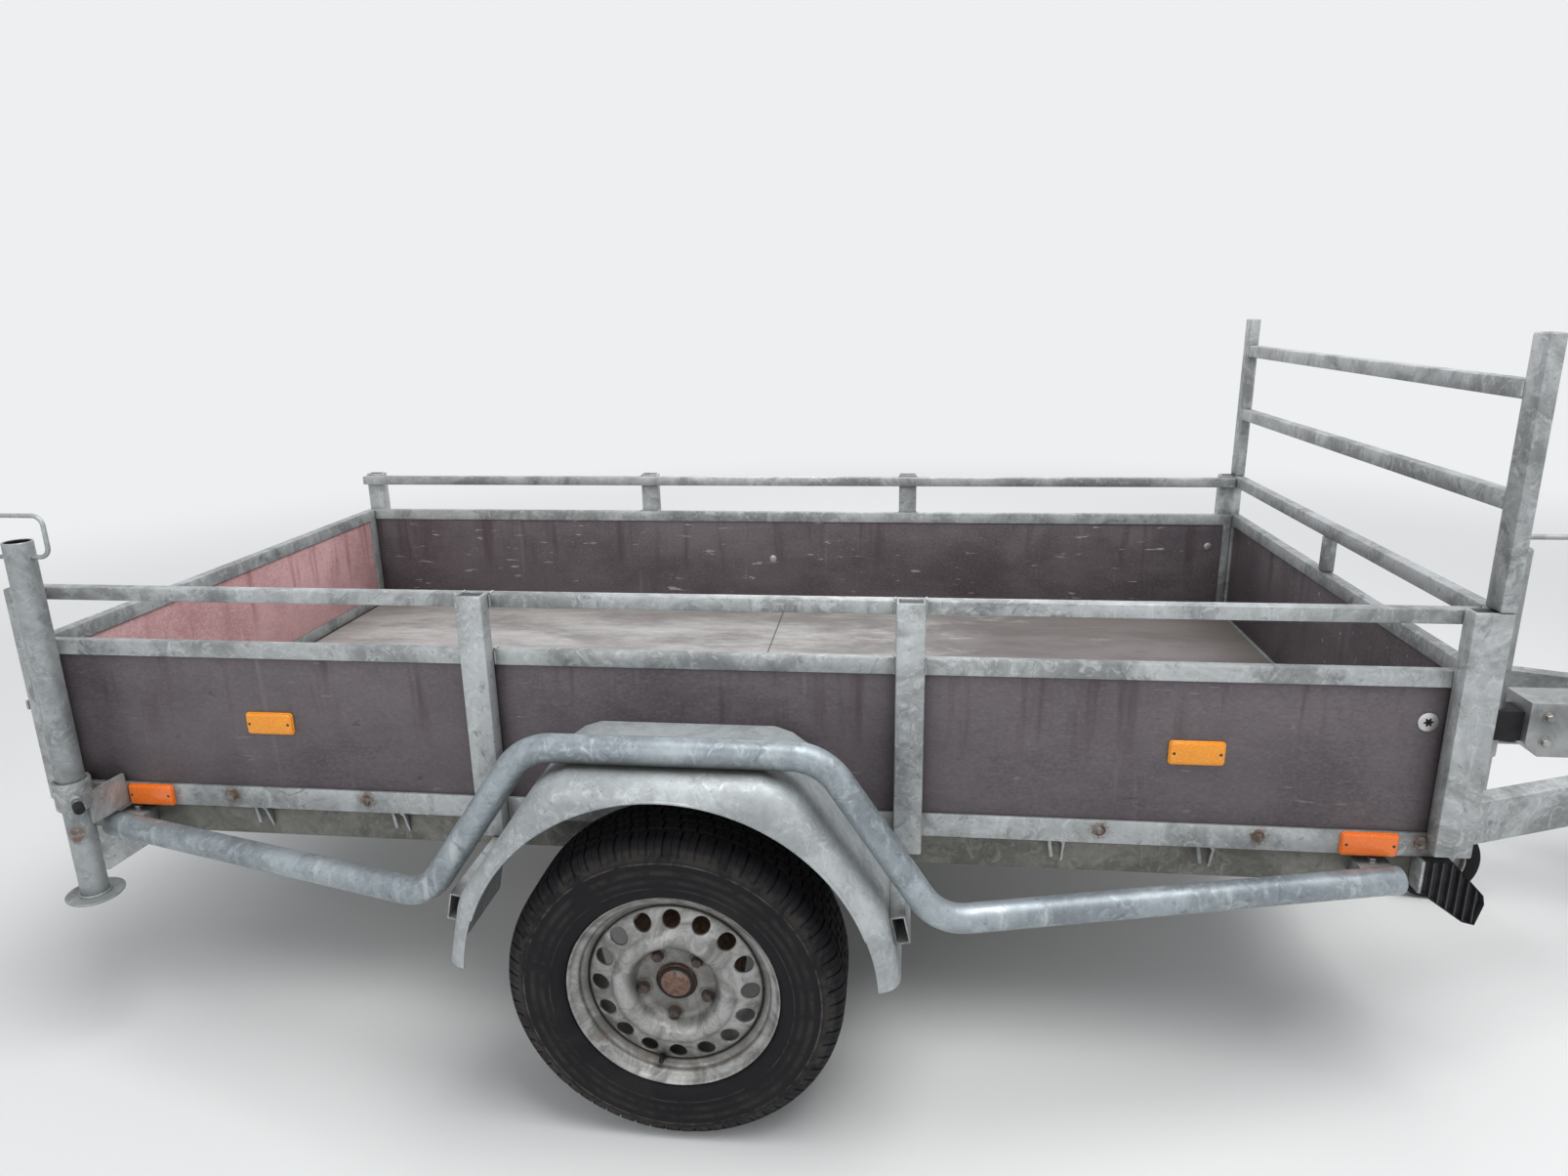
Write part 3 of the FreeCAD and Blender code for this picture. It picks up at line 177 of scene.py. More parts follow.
class Finish:
    """A Principled material whose colour, roughness and bump are built from noise in object space."""

    def __init__(self, name, base, roughness=0.5, metallic=0.0, edges=0.0):
        """With edges, a radius, the look of sharp edges is rounded."""
        self.material = bpy.data.materials.new(name)
        self.material.use_nodes = True
        self.tree = self.material.node_tree
        self.shader = self.tree.nodes["Principled BSDF"]
        self.set("Roughness", roughness)
        self.set("Metallic", metallic)
        self.base = base
        self.coords = self.node("ShaderNodeTexCoord").outputs["Object"]
        self.rounded = edges and self.node("ShaderNodeBevel", [("Radius", edges)], samples=3).outputs[0]

    def set(self, name, value):
        self.shader.inputs[name].default_value = value

    def node(self, kind, inputs=(), **values):
        return add_node(self.tree, kind, inputs, **values)

    def noise(self, scale, detail=4.0, stretch=(1, 1, 1), shift=(0, 0, 0), rough=0.55, warp=0.0,
              turn=(0, 0, 0)):
        place = self.node("ShaderNodeMapping", [("Vector", self.coords), ("Scale", stretch),
                                                ("Location", shift), ("Rotation", turn)])
        return self.node("ShaderNodeTexNoise", [("Vector", place.outputs[0]), ("Scale", scale),
                                                ("Detail", detail), ("Roughness", rough),
                                                ("Distortion", warp)]).outputs["Fac"]

    def cells(self, scale, output="Distance"):
        return self.node("ShaderNodeTexVoronoi", [("Vector", self.coords), ("Scale", scale)]).outputs[output]

    def span(self, value, low, high, to_low=0.0, to_high=1.0):
        """A smooth step from one value to another while the field goes from low to high."""
        return self.node("ShaderNodeMapRange", [("Value", value), ("From Min", low), ("From Max", high),
                                                ("To Min", to_low), ("To Max", to_high)],
                         interpolation_type="SMOOTHSTEP").outputs[0]

    def math(self, operation, first, second=0.0):
        return self.node("ShaderNodeMath", [(0, first), (1, second)], operation=operation,
                         use_clamp=operation in ("MULTIPLY", "ADD", "MAXIMUM")).outputs[0]

    def times(self, first, *others):
        for other in others:
            first = self.math("MULTIPLY", first, other)
        return first

    def gap(self, first, second):
        """How far two values are apart."""
        return self.math("ABSOLUTE", self.math("SUBTRACT", first, second))

    def axis(self, letter):
        return self.node("ShaderNodeSeparateXYZ", [(0, self.coords)]).outputs[letter]

    def distance(self, place, point):
        node = self.node("ShaderNodeVectorMath", [(0, place), (1, point)], operation="DISTANCE")
        return node.outputs["Value"]

    def near(self, centre, inner, outer):
        """1 within the inner distance of a point on either side, falling to 0 at the outer one."""
        x, y, z = (self.axis(letter) for letter in "XYZ")
        place = self.node("ShaderNodeCombineXYZ", [(0, x), (1, self.math("ABSOLUTE", y)), (2, z)])
        return self.span(self.distance(place.outputs[0], centre), inner, outer, 1.0, 0.0)

    def wheel_radius(self):
        """Distance from the wheels' axis."""
        flat = self.node("ShaderNodeVectorMath", [(0, self.coords), (1, (1, 0, 1))], operation="MULTIPLY")
        return self.distance(flat.outputs[0], (AXLE_X, 0, AXLE_Z))

    def mix(self, amount, first, second, blend="MIX"):
        colours = [(index, value if isinstance(value, bpy.types.NodeSocket) else (*value, 1))
                   for index, value in ((6, first), (7, second))]
        node = self.node("ShaderNodeMix", [(0, amount), *colours], data_type="RGBA", blend_type=blend)
        return node.outputs[2]

    def cover(self, colour, share):
        """Lays a colour over what is there."""
        self.base = self.mix(share, self.base, colour)

    def lay(self, colour, field, low, high, to_high=1.0, to_low=0.0):
        """Lays a colour over what is there, its share a span of a field."""
        self.cover(colour, self.span(field, low, high, to_low, to_high))

    def corner_shade(self, colour, distance, low, high, amount):
        """Painted shade: lays a colour where surfaces meet closely, as ambient occlusion finds them."""
        corners = self.node("ShaderNodeAmbientOcclusion", [("Distance", distance)], samples=6).outputs["AO"]
        self.lay(colour, corners, low, high, 0.0, amount)

    def close(self, height, distance, strength, *roughness):
        """Ends the tree: colour, bump, and roughness where its span is given."""
        inputs = [("Height", height), ("Distance", distance), ("Strength", strength)]
        if self.rounded:
            inputs.append(("Normal", self.rounded))
        bump = self.node("ShaderNodeBump", inputs)
        self.tree.links.new(self.base, self.shader.inputs["Base Color"])
        self.tree.links.new(bump.outputs[0], self.shader.inputs["Normal"])
        if roughness:
            self.tree.links.new(self.span(*roughness), self.shader.inputs["Roughness"])
        return self

    def put_on(self, *objects):
        for thing in objects:
            thing.data.materials.clear()
            thing.data.materials.append(self.material)


def shade(colour, factor):
    return [min(1, part * factor) for part in colour]


def galvanised(name, light, dark, shine=0.0, metallic=0.45, streaks=0.5, blotch=0.62, bolts=()):
    """Hot-dip zinc: cloudy grey, crystals, pale runs down the faces, dark grime, small pits, and painted
    shade where surfaces meet closely.
    """
    finish = Finish(name, dark, 0.5, metallic, 0.0015)
    clouds = finish.noise(6.0, 7.0, rough=0.66, warp=0.9)
    spangle = finish.noise(34.0, 6.0, rough=0.74, warp=1.6)
    finish.lay(light, clouds, 0.36, 0.63)
    crystals = finish.span(finish.cells(95.0, "Color"), 0.0, 1.0, 0.25, 0.75)
    finish.base = finish.mix(0.16, finish.base, crystals, "SOFT_LIGHT")
    finish.lay(shade(light, 1.3), spangle, 0.5, 0.66, 0.55)
    runs = finish.noise(24.0, 5.0, (1, 1, 0.1), rough=0.65, warp=0.4)
    finish.lay((0.64, 0.67, 0.67), runs, 0.57, 0.7, streaks)
    blotches = finish.noise(17.0, 6.0, shift=(3, 1, 7), rough=0.68, warp=1.4)
    finish.lay(shade(dark, 0.58), blotches, 0.56, 0.7, blotch)
    finish.lay(shade(dark, 0.45), finish.noise(75.0, 4.0, shift=(8, 2, 1), rough=0.7), 0.6, 0.72, 0.45)
    pits = finish.span(finish.cells(120.0), 0.06, 0.16, 1.0, 0.0)
    pitted = finish.span(finish.noise(9.0, 2.0, shift=(5, 5, 5)), 0.5, 0.64)
    finish.cover((0.1, 0.1, 0.09), finish.times(pits, pitted, 0.8))
    # Painted shade where surfaces meet closely, found by ambient occlusion.
    finish.corner_shade((0.12, 0.115, 0.1), 0.035, 0.25, 0.95, 0.7)
    for centre in bolts:
        rust = finish.span(finish.noise(110.0, 4.0, rough=0.7), 0.38, 0.58)
        finish.cover((0.16, 0.085, 0.05), finish.times(finish.near(centre, 0.009, 0.024), rust, 0.85))
    relief = finish.math("ADD", finish.times(spangle, 0.6), finish.times(clouds, 0.4))
    return finish.close(relief, 0.0012, 0.55, spangle, 0.25, 0.8, 0.62 - shine, 0.38 - shine)


def faced_ply(name, dark, light, drip, inner_scratches):
    """Film-faced plywood: fine grain along the board, drips down from the top edge, scuffs and scratches."""
    finish = Finish(name, dark, 0.55)
    haze = finish.noise(4.5, 6.0, (1, 1, 1.6), rough=0.65, warp=0.4)
    finish.lay(light, haze, 0.3, 0.7)
    grain = finish.noise(70.0, 7.0, (0.14, 0.14, 2.2), rough=0.75, warp=0.5)
    finish.lay(shade(dark, 0.62), grain, 0.5, 0.72, 0.32)
    dust = finish.noise(210.0, 5.0, (0.6, 0.6, 1), (1, 7, 3), 0.75)
    finish.lay(shade(light, 1.5), dust, 0.5, 0.68, 0.42)
    finish.lay(shade(dark, 0.55), dust, 0.5, 0.36, 0.35)
    finish.lay(shade(light, 1.25), finish.noise(2.3, 4.0, shift=(6, 6, 0), rough=0.6), 0.45, 0.62, 0.35)
    top = finish.span(finish.axis("Z"), SILL_TOP + 0.02, RAIL_TOP - 0.03)
    drips = finish.span(finish.noise(21.0, 4.0, (1, 1, 0.1), rough=0.6), 0.52, 0.7)
    finish.cover(drip, finish.times(drips, finish.span(top, 0.1, 0.85), 0.75))
    finish.lay(shade(light, 1.7), finish.noise(34.0, 4.0, (1, 1, 0.08), (9, 2, 4), 0.6), 0.62, 0.76, 0.4)
    blots = finish.noise(42.0, 5.0, (0.5, 0.5, 1), (2, 8, 3), 0.7, 1.5)
    finish.lay(shade(dark, 0.45), blots, 0.63, 0.72, 0.6)
    if inner_scratches:
        inside = finish.span(finish.math("ABSOLUTE", finish.axis("Y")), BOARD_Y - 0.004, BOARD_Y - 0.008)
        for number, (lean, scale) in enumerate(((0.5, 60.0), (-0.9, 75.0), (0.1, 90.0))):
            chip = finish.noise(scale, 3.0, (0.16, 1, 1), (number, 0, number), turn=(0, lean, 0))
            patches = finish.span(finish.noise(7.0, 2.0, shift=(number * 5, 1, 2)), 0.45, 0.6)
            share = finish.math("MAXIMUM", inside, finish.span(patches, 0.8, 0.98, 0.0, 0.25))
            mark = finish.span(chip, 0.68, 0.715)
            finish.cover((0.42, 0.4, 0.38), finish.times(mark, patches, share, 0.85))
    # Painted shade where surfaces meet closely, found by ambient occlusion.
    finish.corner_shade(shade(dark, 0.35), 0.05, 0.2, 0.95, 0.7)
    relief = finish.math("ADD", grain, finish.times(blots, 0.5))
    return finish.close(relief, 0.0005, 0.5, haze, 0.2, 0.8, 0.48, 0.68)


def worn_floor():
    """The bed's plywood: bleached and trodden, with the dark facing left in patches, painted shade growing
    towards the front, painted shade along the boards, and a joint across.
    """
    finish = Finish("worn_floor", (0.3, 0.285, 0.275), 0.7)
    wear = finish.noise(6.5, 9.0, (0.55, 1.3, 1), rough=0.72, warp=0.15)
    finish.lay((0.54, 0.52, 0.5), wear, 0.34, 0.64)
    fibre = finish.noise(55.0, 6.0, (0.12, 1.6, 1), rough=0.7)
    finish.lay((0.24, 0.22, 0.21), fibre, 0.5, 0.7, 0.5)
    scuffs = finish.noise(30.0, 6.0, (0.22, 1, 1), (4, 4, 1), 0.7, 0.3)
    finish.lay((0.64, 0.62, 0.6), scuffs, 0.57, 0.68, 0.6)
    finish.lay((0.12, 0.105, 0.095), finish.noise(160.0, 4.0, shift=(2, 5, 5), rough=0.7), 0.6, 0.68, 0.6)
    # The dark facing left in patches; they grow and darken towards the front as painted shade of the front
    # board.
    front = finish.span(finish.axis("X"), FRONT_X - 1.3, FRONT_X - 0.25)
    left_facing = finish.noise(5.0, 8.0, (0.7, 1.4, 1), (7, 3, 2), 0.75)
    facing_and_front_shade = finish.span(finish.math("ADD", left_facing, finish.times(front, 0.3)), 0.52, 0.66)
    finish.cover((0.125, 0.105, 0.1), finish.times(facing_and_front_shade, finish.span(front, 0.0, 0.7, 0.25, 0.72)))
    # Painted shade along the boards and in the corners, found by ambient occlusion.
    finish.corner_shade((0.15, 0.125, 0.11), 0.25, 0.35, 1.0, 0.75)
    joint = finish.gap(finish.axis("X"), (FRONT_X + REAR_X) / 2)
    finish.lay((0.05, 0.045, 0.04), joint, 0.001, 0.0028, 0.0, 0.8)
    relief = finish.math("ADD", fibre, finish.times(scuffs, 0.6))
    return finish.close(relief, 0.0008, 0.6, wear, 0.2, 0.8, 0.62, 0.8)


def wheel_silver():
    """Silver wheel paint gone dull: darker in the bowl, painted shade along the step to the barrel and where
    surfaces meet closely, rust low down and at the edges.
    """
    finish = Finish("wheel_silver", (0.17, 0.168, 0.16), 0.42, 0.6, 0.0012)
    finish.lay((0.4, 0.4, 0.39), finish.noise(16.0, 7.0, rough=0.7, warp=1.0), 0.36, 0.64)
    radius = finish.wheel_radius()
    # Darker in the bowl, towards the middle.
    finish.lay((0.125, 0.118, 0.106), radius, 0.056, 0.086, 0.0, 0.46)
    # Painted shade: a dark ring along the step where the disc meets the barrel.
    finish.lay((0.085, 0.078, 0.068), finish.gap(radius, 0.1535), 0.002, 0.009, 0.0, 0.6)
    finish.lay((0.11, 0.1, 0.09), finish.noise(85.0, 6.0, shift=(4, 4, 0), rough=0.75), 0.55, 0.7, 0.55)
    rust = finish.noise(30.0, 6.0, shift=(1, 6, 2), rough=0.7, warp=1.4)
    low = finish.span(finish.axis("Z"), AXLE_Z - 0.16, AXLE_Z + 0.02, 0.1, 0.0)
    finish.lay((0.2, 0.13, 0.075), finish.math("ADD", rust, low), 0.63, 0.8, 0.7)
    # Painted shade where surfaces meet closely, found by ambient occlusion.
    finish.corner_shade((0.06, 0.052, 0.042), 0.03, 0.3, 0.98, 0.9)
    return finish.close(rust, 0.0006, 0.4, rust, 0.3, 0.75, 0.36, 0.62)


def rusty(name, amount=0.7, deep=(0.1, 0.055, 0.035), pale=(0.27, 0.15, 0.085)):
    """Bare or worn iron gone brown."""
    finish = Finish(name, deep, 0.75, 0.25, 0.001)
    crust = finish.noise(90.0, 6.0, rough=0.7, warp=1.0)
    finish.lay(pale, crust, 0.3, 0.7)
    finish.lay((0.26, 0.25, 0.24), finish.noise(35.0, 4.0, shift=(3, 3, 3)), amount - 0.15, amount)
    return finish.close(crust, 0.0008, 0.7)


def rubber(name, colour=(0.014, 0.014, 0.016), dust=(0.085, 0.078, 0.07), dust_amount=0.3, rings=()):
    """Rubber with a film of dust; rings are radii on the tyre where grime has marked the sidewall."""
    finish = Finish(name, colour, 0.72)
    finish.set("Specular IOR Level", 0.24)
    film = finish.noise(11.0, 6.0, rough=0.7, warp=0.8)
    fine = finish.noise(240.0, 4.0, rough=0.7)
    finish.lay(dust, film, 0.42, 0.72, dust_amount)
    finish.lay(dust, fine, 0.58, 0.75, 0.3)
    for radius, half_width, amount in rings:
        away = finish.gap(finish.wheel_radius(), radius)
        band = finish.span(away, half_width * 0.4, half_width, amount, 0.0)
        patches = finish.span(finish.noise(26.0, 5.0, rough=0.7, warp=0.8), 0.38, 0.6)
        finish.cover((0.12, 0.105, 0.088), finish.times(band, patches))
    return finish.close(fine, 0.0003, 0.5, film, 0.2, 0.8, 0.6, 0.85)


def zinc_bright(name="zinc_bright", dark=(0.27, 0.28, 0.28), light=(0.44, 0.45, 0.45)):
    """Bright zinc plating on the drawbar's fittings, greyed by weather."""
    finish = Finish(name, dark, 0.38, 0.7, 0.0015)
    clouds = finish.noise(16.0, 6.0, rough=0.65, warp=0.7)
    finish.lay(light, clouds, 0.3, 0.7)
    spots = finish.noise(60.0, 5.0, shift=(2, 2, 8), rough=0.7)
    finish.lay((0.22, 0.2, 0.17), spots, 0.62, 0.74, 0.6)
    # Painted shade where surfaces meet closely, found by ambient occlusion.
    finish.corner_shade((0.12, 0.11, 0.1), 0.03, 0.3, 0.95, 0.6)
    return finish.close(spots, 0.0005, 0.4, clouds, 0.2, 0.8, 0.3, 0.52)


def clear_plastic(name, deep, bright):
    """A moulded lens: a prism grid shows through the coloured plastic."""
    finish = Finish(name, bright, 0.22)
    finish.set("Coat Weight", 0.35)
    finish.set("Coat Roughness", 0.12)
    grid = finish.cells(330.0)
    finish.lay(deep, grid, 0.15, 0.55)
    return finish.close(grid, 0.0003, 0.25)


def black_plastic():
    finish = Finish("black_plastic", (0.018, 0.018, 0.02), 0.55)
    bloom = finish.noise(18.0, 5.0, rough=0.65)
    finish.lay((0.055, 0.055, 0.06), bloom, 0.4, 0.75)
    return finish.close(finish.noise(300.0, 3.0), 0.0003, 0.5, bloom, 0.2, 0.8, 0.42, 0.66)


FINISHES = {
    "steel": galvanised("galvanised", (0.47, 0.49, 0.495), (0.24, 0.252, 0.253),
                        bolts=[(FRONT_X - back, RAIL_Y, SILL_BOLT_Z) for back in SILL_BOLTS]),
    "guard": galvanised("galvanised_tube", (0.35, 0.395, 0.42), (0.21, 0.24, 0.26), shine=0.08, metallic=0.5),
    "mudguard": galvanised("galvanised_sheet", (0.44, 0.468, 0.475), (0.32, 0.342, 0.348), metallic=0.4,
                           streaks=0.2, blotch=0.3),
    # Road grime and painted shade: a darker, browner copy of the galvanised finish for the beams and the axle
    # under the bed.
    "under": galvanised("galvanised_under_grime_and_shade", (0.19, 0.185, 0.165), (0.1, 0.099, 0.086), metallic=0.3,
                        streaks=0.2),
    "stand": galvanised("galvanised_stand", (0.37, 0.395, 0.4), (0.22, 0.236, 0.238), shine=0.05, blotch=0.42,
                        bolts=[(STAND_X + 0.008, STAND_Y + 0.022, 0.449)]),
    "board": faced_ply("side_ply", (0.072, 0.058, 0.064), (0.132, 0.113, 0.121), (0.058, 0.037, 0.043), True),
    "gate": faced_ply("gate_ply", (0.46, 0.25, 0.255), (0.61, 0.37, 0.375), (0.3, 0.12, 0.125), False),
    "floor": worn_floor(),
    "wheel": wheel_silver(),
    "rust": rusty("rust"),
    "dark_bolt": rusty("dark_bolt", 0.95, (0.035, 0.028, 0.024), (0.1, 0.075, 0.06)),
    "cap_rust": rusty("cap_rust", 0.74, (0.1, 0.055, 0.04), (0.24, 0.145, 0.105)),
    "worn_bolt": rusty("worn_bolt", 0.6, (0.07, 0.05, 0.036), (0.19, 0.135, 0.095)),
    # The tyre's dirty rings as radius, half width, amount
    "tyre": rubber("tyre_rubber", (0.004, 0.004, 0.0058), (0.038, 0.036, 0.035), 0.34,
                   ((0.2508, 0.0022, 0.6), (0.263, 0.013, 0.22), (0.206, 0.0016, 0.28),
                    (0.235, 0.006, 0.16), (0.219, 0.005, 0.14))),
    "rubber": rubber("black_rubber", dust_amount=0.15),
    "black_paint": rubber("black_paint", (0.02, 0.02, 0.022), dust_amount=0.25),
    # Painted shade: a near-black finish put where there is only a hollow, inside the stand's tube top and in
    # the bolt's star recess.
    "dark": rubber("painted_shade_hollow", (0.006, 0.006, 0.006), (0.02, 0.018, 0.016), 0.3),
    "black": black_plastic(),
    "amber": clear_plastic("amber_lens", (0.9, 0.3, 0.01), (1.0, 0.42, 0.02)),
    "orange": clear_plastic("orange_lens", (0.9, 0.17, 0.012), (1.0, 0.24, 0.02)),
    "red": clear_plastic("red_lens", (0.42, 0.015, 0.012), (0.6, 0.03, 0.02)),
    "zinc": zinc_bright(),
    "bolt": zinc_bright("bolt_zinc", (0.3, 0.29, 0.27), (0.52, 0.52, 0.51)),
    "washer": zinc_bright("washer_zinc", (0.5, 0.5, 0.49), (0.72, 0.72, 0.71)),
    "weld": zinc_bright("weld_zinc", (0.38, 0.4, 0.4), (0.55, 0.57, 0.57)),
}

# The solids that are shown as they are; every other one is replaced by a piece below
CAD_FINISHES = {"floor": ("floor_sheet",), "rust": ("swing_arms",),
                "zinc": ("draw_shaft", "brake_rod", "jockey_sleeve", "jockey_tube")}


def dress_nodes():
    for finish, names in CAD_FINISHES.items():
        FINISHES[finish].put_on(*(NODES[name] for name in names))


# Mesh builders: everything in metres, in the model's own frame

def rounded_outline(width, height, corner, steps=4):
    """A ring function: the outline of a rounded rectangle, drawn in by an inset."""
    def ring(inset):
        half_w, half_h = width / 2 - inset, height / 2 - inset
        radius = max(min(corner - inset * 0.6, half_w, half_h), 1e-5)
        points = []
        for quarter, (sx, sy) in enumerate(((1, 1), (-1, 1), (-1, -1), (1, -1))):
            for step in range(steps + 1):
                angle = pi / 2 * (quarter + step / steps)
                points.append((sx * (half_w - radius) + radius * cos(angle),
                               sy * (half_h - radius) + radius * sin(angle)))
        return points
    return ring


def circle(radius, sides, turn=0.0):
    """Points around a circle."""
    angles = [turn + 2 * pi * k / sides for k in range(sides)]
    return [(radius * cos(angle), radius * sin(angle)) for angle in angles]


def closed_circle(radius, sides):
    points = circle(radius, sides)
    return points + points[:1]


def round_outline(radius, sides, turn=0.0):
    """A ring function: a regular polygon's corners, drawn in by an inset."""
    return lambda inset: circle(radius - inset, sides, turn)


def star_outline(outer, inner, points):
    """A ring function: a star with blunt points."""
    def ring(inset):
        corners = []
        for k in range(points * 4):
            radius = (outer if k % 4 in (0, 1) else inner) - inset
            turn = 2 * pi * k / (points * 4)
            corners.append((radius * cos(turn), radius * sin(turn)))
        return corners
    return ring


def looking(origin, along, up=(0, 0, 1)):
    """A placement whose own Z points along a direction, its Y as near as can be to up."""
    z = Vector(along).normalized()
    y = Vector(up) - z * z.dot(Vector(up))
    if y.length < 1e-6:
        y = Vector((1, 0, 0)) - z * z.x
    y.normalize()
    turn = Matrix((y.cross(z), y, z)).transposed().to_4x4()
    return Matrix.Translation(origin) @ turn


def arc_path(points, radius, steps=8):
    """A tube's centre line with each corner bent to a radius."""
    points = [Vector(point) for point in points]
    path = [points[0]]
    for before, corner, after in zip(points, points[1:], points[2:]):
        start, end = (before - corner).normalized(), (after - corner).normalized()
        half = start.angle(end) / 2
        back = min(radius / tan(half), (before - corner).length * 0.49, (after - corner).length * 0.49)
        first, last = corner + start * back, corner + end * back
        centre = corner + (start + end).normalized() * (back / cos(half))
        for step in range(steps + 1):
            blend = step / steps
            place = first.lerp(last, blend) - centre
            path.append(centre + place.normalized() * (first - centre).length)
    path.append(points[-1])
    return path


class Shape:
    """Collects the surfaces of one piece; the tag chooses among its finishes."""

    def __init__(self):
        self.points, self.faces, self.tags = [], [], []
        self.tag = 0

    def add(self, points, faces, place=None):
        start = len(self.points)
        self.points += [place @ Vector(point) if place else Vector(point) for point in points]
        self.faces += [[start + index for index in face] for face in faces]
        self.tags += [self.tag] * len(faces)

    def mesh(self):
        work = bmesh.new()
        points = [work.verts.new(point) for point in self.points]
        for face, tag in zip(self.faces, self.tags):
            work.faces.new([points[index] for index in face]).material_index = tag
        return work

    def skin(self, rings, place=None, caps=True):
        """Joins neighbouring rings of points, and closes the first and the last."""
        size = len(rings[0])
        points = [point for ring in rings for point in ring]
        faces = []
        for low in range(0, len(points) - size, size):
            for k in range(size):
                after = (k + 1) % size
                faces.append((low + k, low + after, low + size + after, low + size + k))
        if caps:
            faces.append(tuple(reversed(range(size))))
            faces.append(tuple(range(len(points) - size, len(points))))
        self.add(points, faces, place)

    def turned(self, columns, place, closed=False):
        """Joins profiles that stand around an axis, the last one to the first."""
        size = len(columns[0])
        faces = []
        for step in range(len(columns)):
            one, two = step * size, (step + 1) % len(columns) * size
            for k in range(size if closed else size - 1):
                after = (k + 1) % size
                faces.append((one + k, two + k, two + after, one + after))
        self.add([point for column in columns for point in column], faces, place)

    def lathe(self, profile, place, steps=48, closed=False):
        """Turns a profile of (height, radius) about the placement's Z."""
        self.turned([[(radius * x, radius * y, height) for height, radius in profile]
                     for x, y in circle(1, steps)], place, closed)

    def stack(self, ring, levels, place):
        """Lofts one outline through levels of (height, inset)."""
        self.skin([[(x, y, height) for x, y in ring(inset)] for height, inset in levels], place)

    def disc(self, origin, along, radius, sides, levels, turn=0.0):
        self.stack(round_outline(radius, sides, turn), levels, looking(origin, along))

    def plate(self, origin, along, width, height, corner, levels):
        self.stack(rounded_outline(width, height, corner), levels, looking(origin, along))

    def tube(self, path, radius, sides=16, wobble=0.0, seed=0):
        """A round bar along a path; wobble makes it a weld bead."""
        spread = random.Random(seed)
        path = [Vector(point) for point in path]
        side = (path[1] - path[0]).normalized().orthogonal().normalized()
        rings = []
        for index, place in enumerate(path):
            before, after = path[max(index - 1, 0)], path[min(index + 1, len(path) - 1)]
            ahead = (after - before).normalized()
            side = (side - ahead * side.dot(ahead)).normalized()
            other = ahead.cross(side)
            size = radius * (1 + spread.uniform(-wobble, wobble))
            rings.append([place + (side * x + other * y) * size for x, y in circle(1, sides)])
        self.skin(rings)

    def bolt(self, origin, along, size, height, washer=0.0):
        """A hexagon head on its washer; size is across the flats."""
        start = 0.0
        if washer:
            self.disc(origin, along, washer / 2, 28, [(0, 0), (0.0012, 0), (0.0018, 0.0006)])
            start = 0.0015
        corner = size / sqrt(3)
        levels = [(start, 0), (start + height * 0.75, 0), (start + height, corner * 0.14)]
        self.disc(origin, along, corner, 6, levels, origin[0] * 7)

    def screw(self, origin, along, radius, height):
        """A domed head with a cross recess."""
        self.disc(origin, along, radius, 20, [(0, 0), (height * 0.5, 0), (height * 0.85, radius * 0.2),
                                              (height, radius * 0.5)])
        for turn in (0, pi / 2):
            slot = (looking(origin, along) @ Matrix.Rotation(turn, 4, "Z")
                    @ Matrix.Translation((0, 0, height + 0.00005)))
            self.stack(rounded_outline(radius * 0.9, radius * 0.22, 0.0001, 1),
                       [(-0.0003, 0), (0.0001, 0)], slot)

    def weld(self, start, end, radius=0.0026):
        """A bead with ripples between two points."""
        start, end = Vector(start), Vector(end)
        count = max(4, int((end - start).length / 0.0016))
        path = [start.lerp(end, k / count) for k in range(count + 1)]
        self.tube(path, radius, 8, 0.16, int(abs(start.x * 1000 + start.z * 77)) + count)


def merged(work, angle):
    """Joins touching points, turns the faces outwards and keeps only real corners sharp."""
    bmesh.ops.remove_doubles(work, verts=work.verts, dist=2e-6)
    bmesh.ops.recalc_face_normals(work, faces=work.faces)
    for face in work.faces:
        face.smooth = True
    for edge in work.edges:
        edge.smooth = not (len(edge.link_faces) == 2 and edge.calc_face_angle() > radians(angle))


def piece(name, shape, finishes, body="chassis", replaced=None, angle=38.0):
    """Makes one object from a shape, or from a finished bmesh."""
    work = shape
    if isinstance(shape, Shape):
        work = shape.mesh()
        merged(work, angle)
    mesh = bpy.data.meshes.new(name)
    work.to_mesh(mesh)
    work.free()
    thing = placed(name, mesh)
    for finish in finishes:
        mesh.materials.append(FINISHES[finish].material)
    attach(thing, body)
    if replaced:
        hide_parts(replaced)


def cad_mesh(node):
    """A node's mesh with its flat faces whole again."""
    work = bmesh.new()
    work.from_mesh(NODES[node].data)
    bmesh.ops.remove_doubles(work, verts=work.verts, dist=5e-6)
    bmesh.ops.dissolve_limit(work, angle_limit=radians(1), verts=work.verts, edges=work.edges)
    for face in work.faces:
        face.material_index = 0
    return work


# Rolled and folded steel: each node is shown by a copy with its edges rounded as the mill leaves them

def soften(node, radius, finishes, slot="galvanised_steel", body="chassis", cap_size=0.0):
    """With a cap size, top faces larger than that get a sunk cap of the second finish."""
    work = cad_mesh(node)
    if radius:
        sharp = [edge for edge in work.edges
                 if len(edge.link_faces) == 2 and edge.calc_face_angle() > radians(34)]
        bmesh.ops.bevel(work, geom=sharp, offset=radius, offset_type="OFFSET", segments=2,
                        profile=0.5, affect="EDGES", clamp_overlap=True)
    work.normal_update()
    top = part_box(node)[1].z
    caps = [face for face in work.faces if cap_size and face.normal.z > 0.99 and face.calc_area() > cap_size
            and abs(face.calc_center_median().z - top) < 0.002]
    for face in caps:
        bmesh.ops.inset_individual(work, faces=[face], thickness=0.0012)
        bmesh.ops.translate(work, verts=face.verts, vec=(0, 0, -0.0022))
        face.material_index = 1
    merged(work, 30.0)
    piece(f"{node}_rounded", work, finishes, body, node)


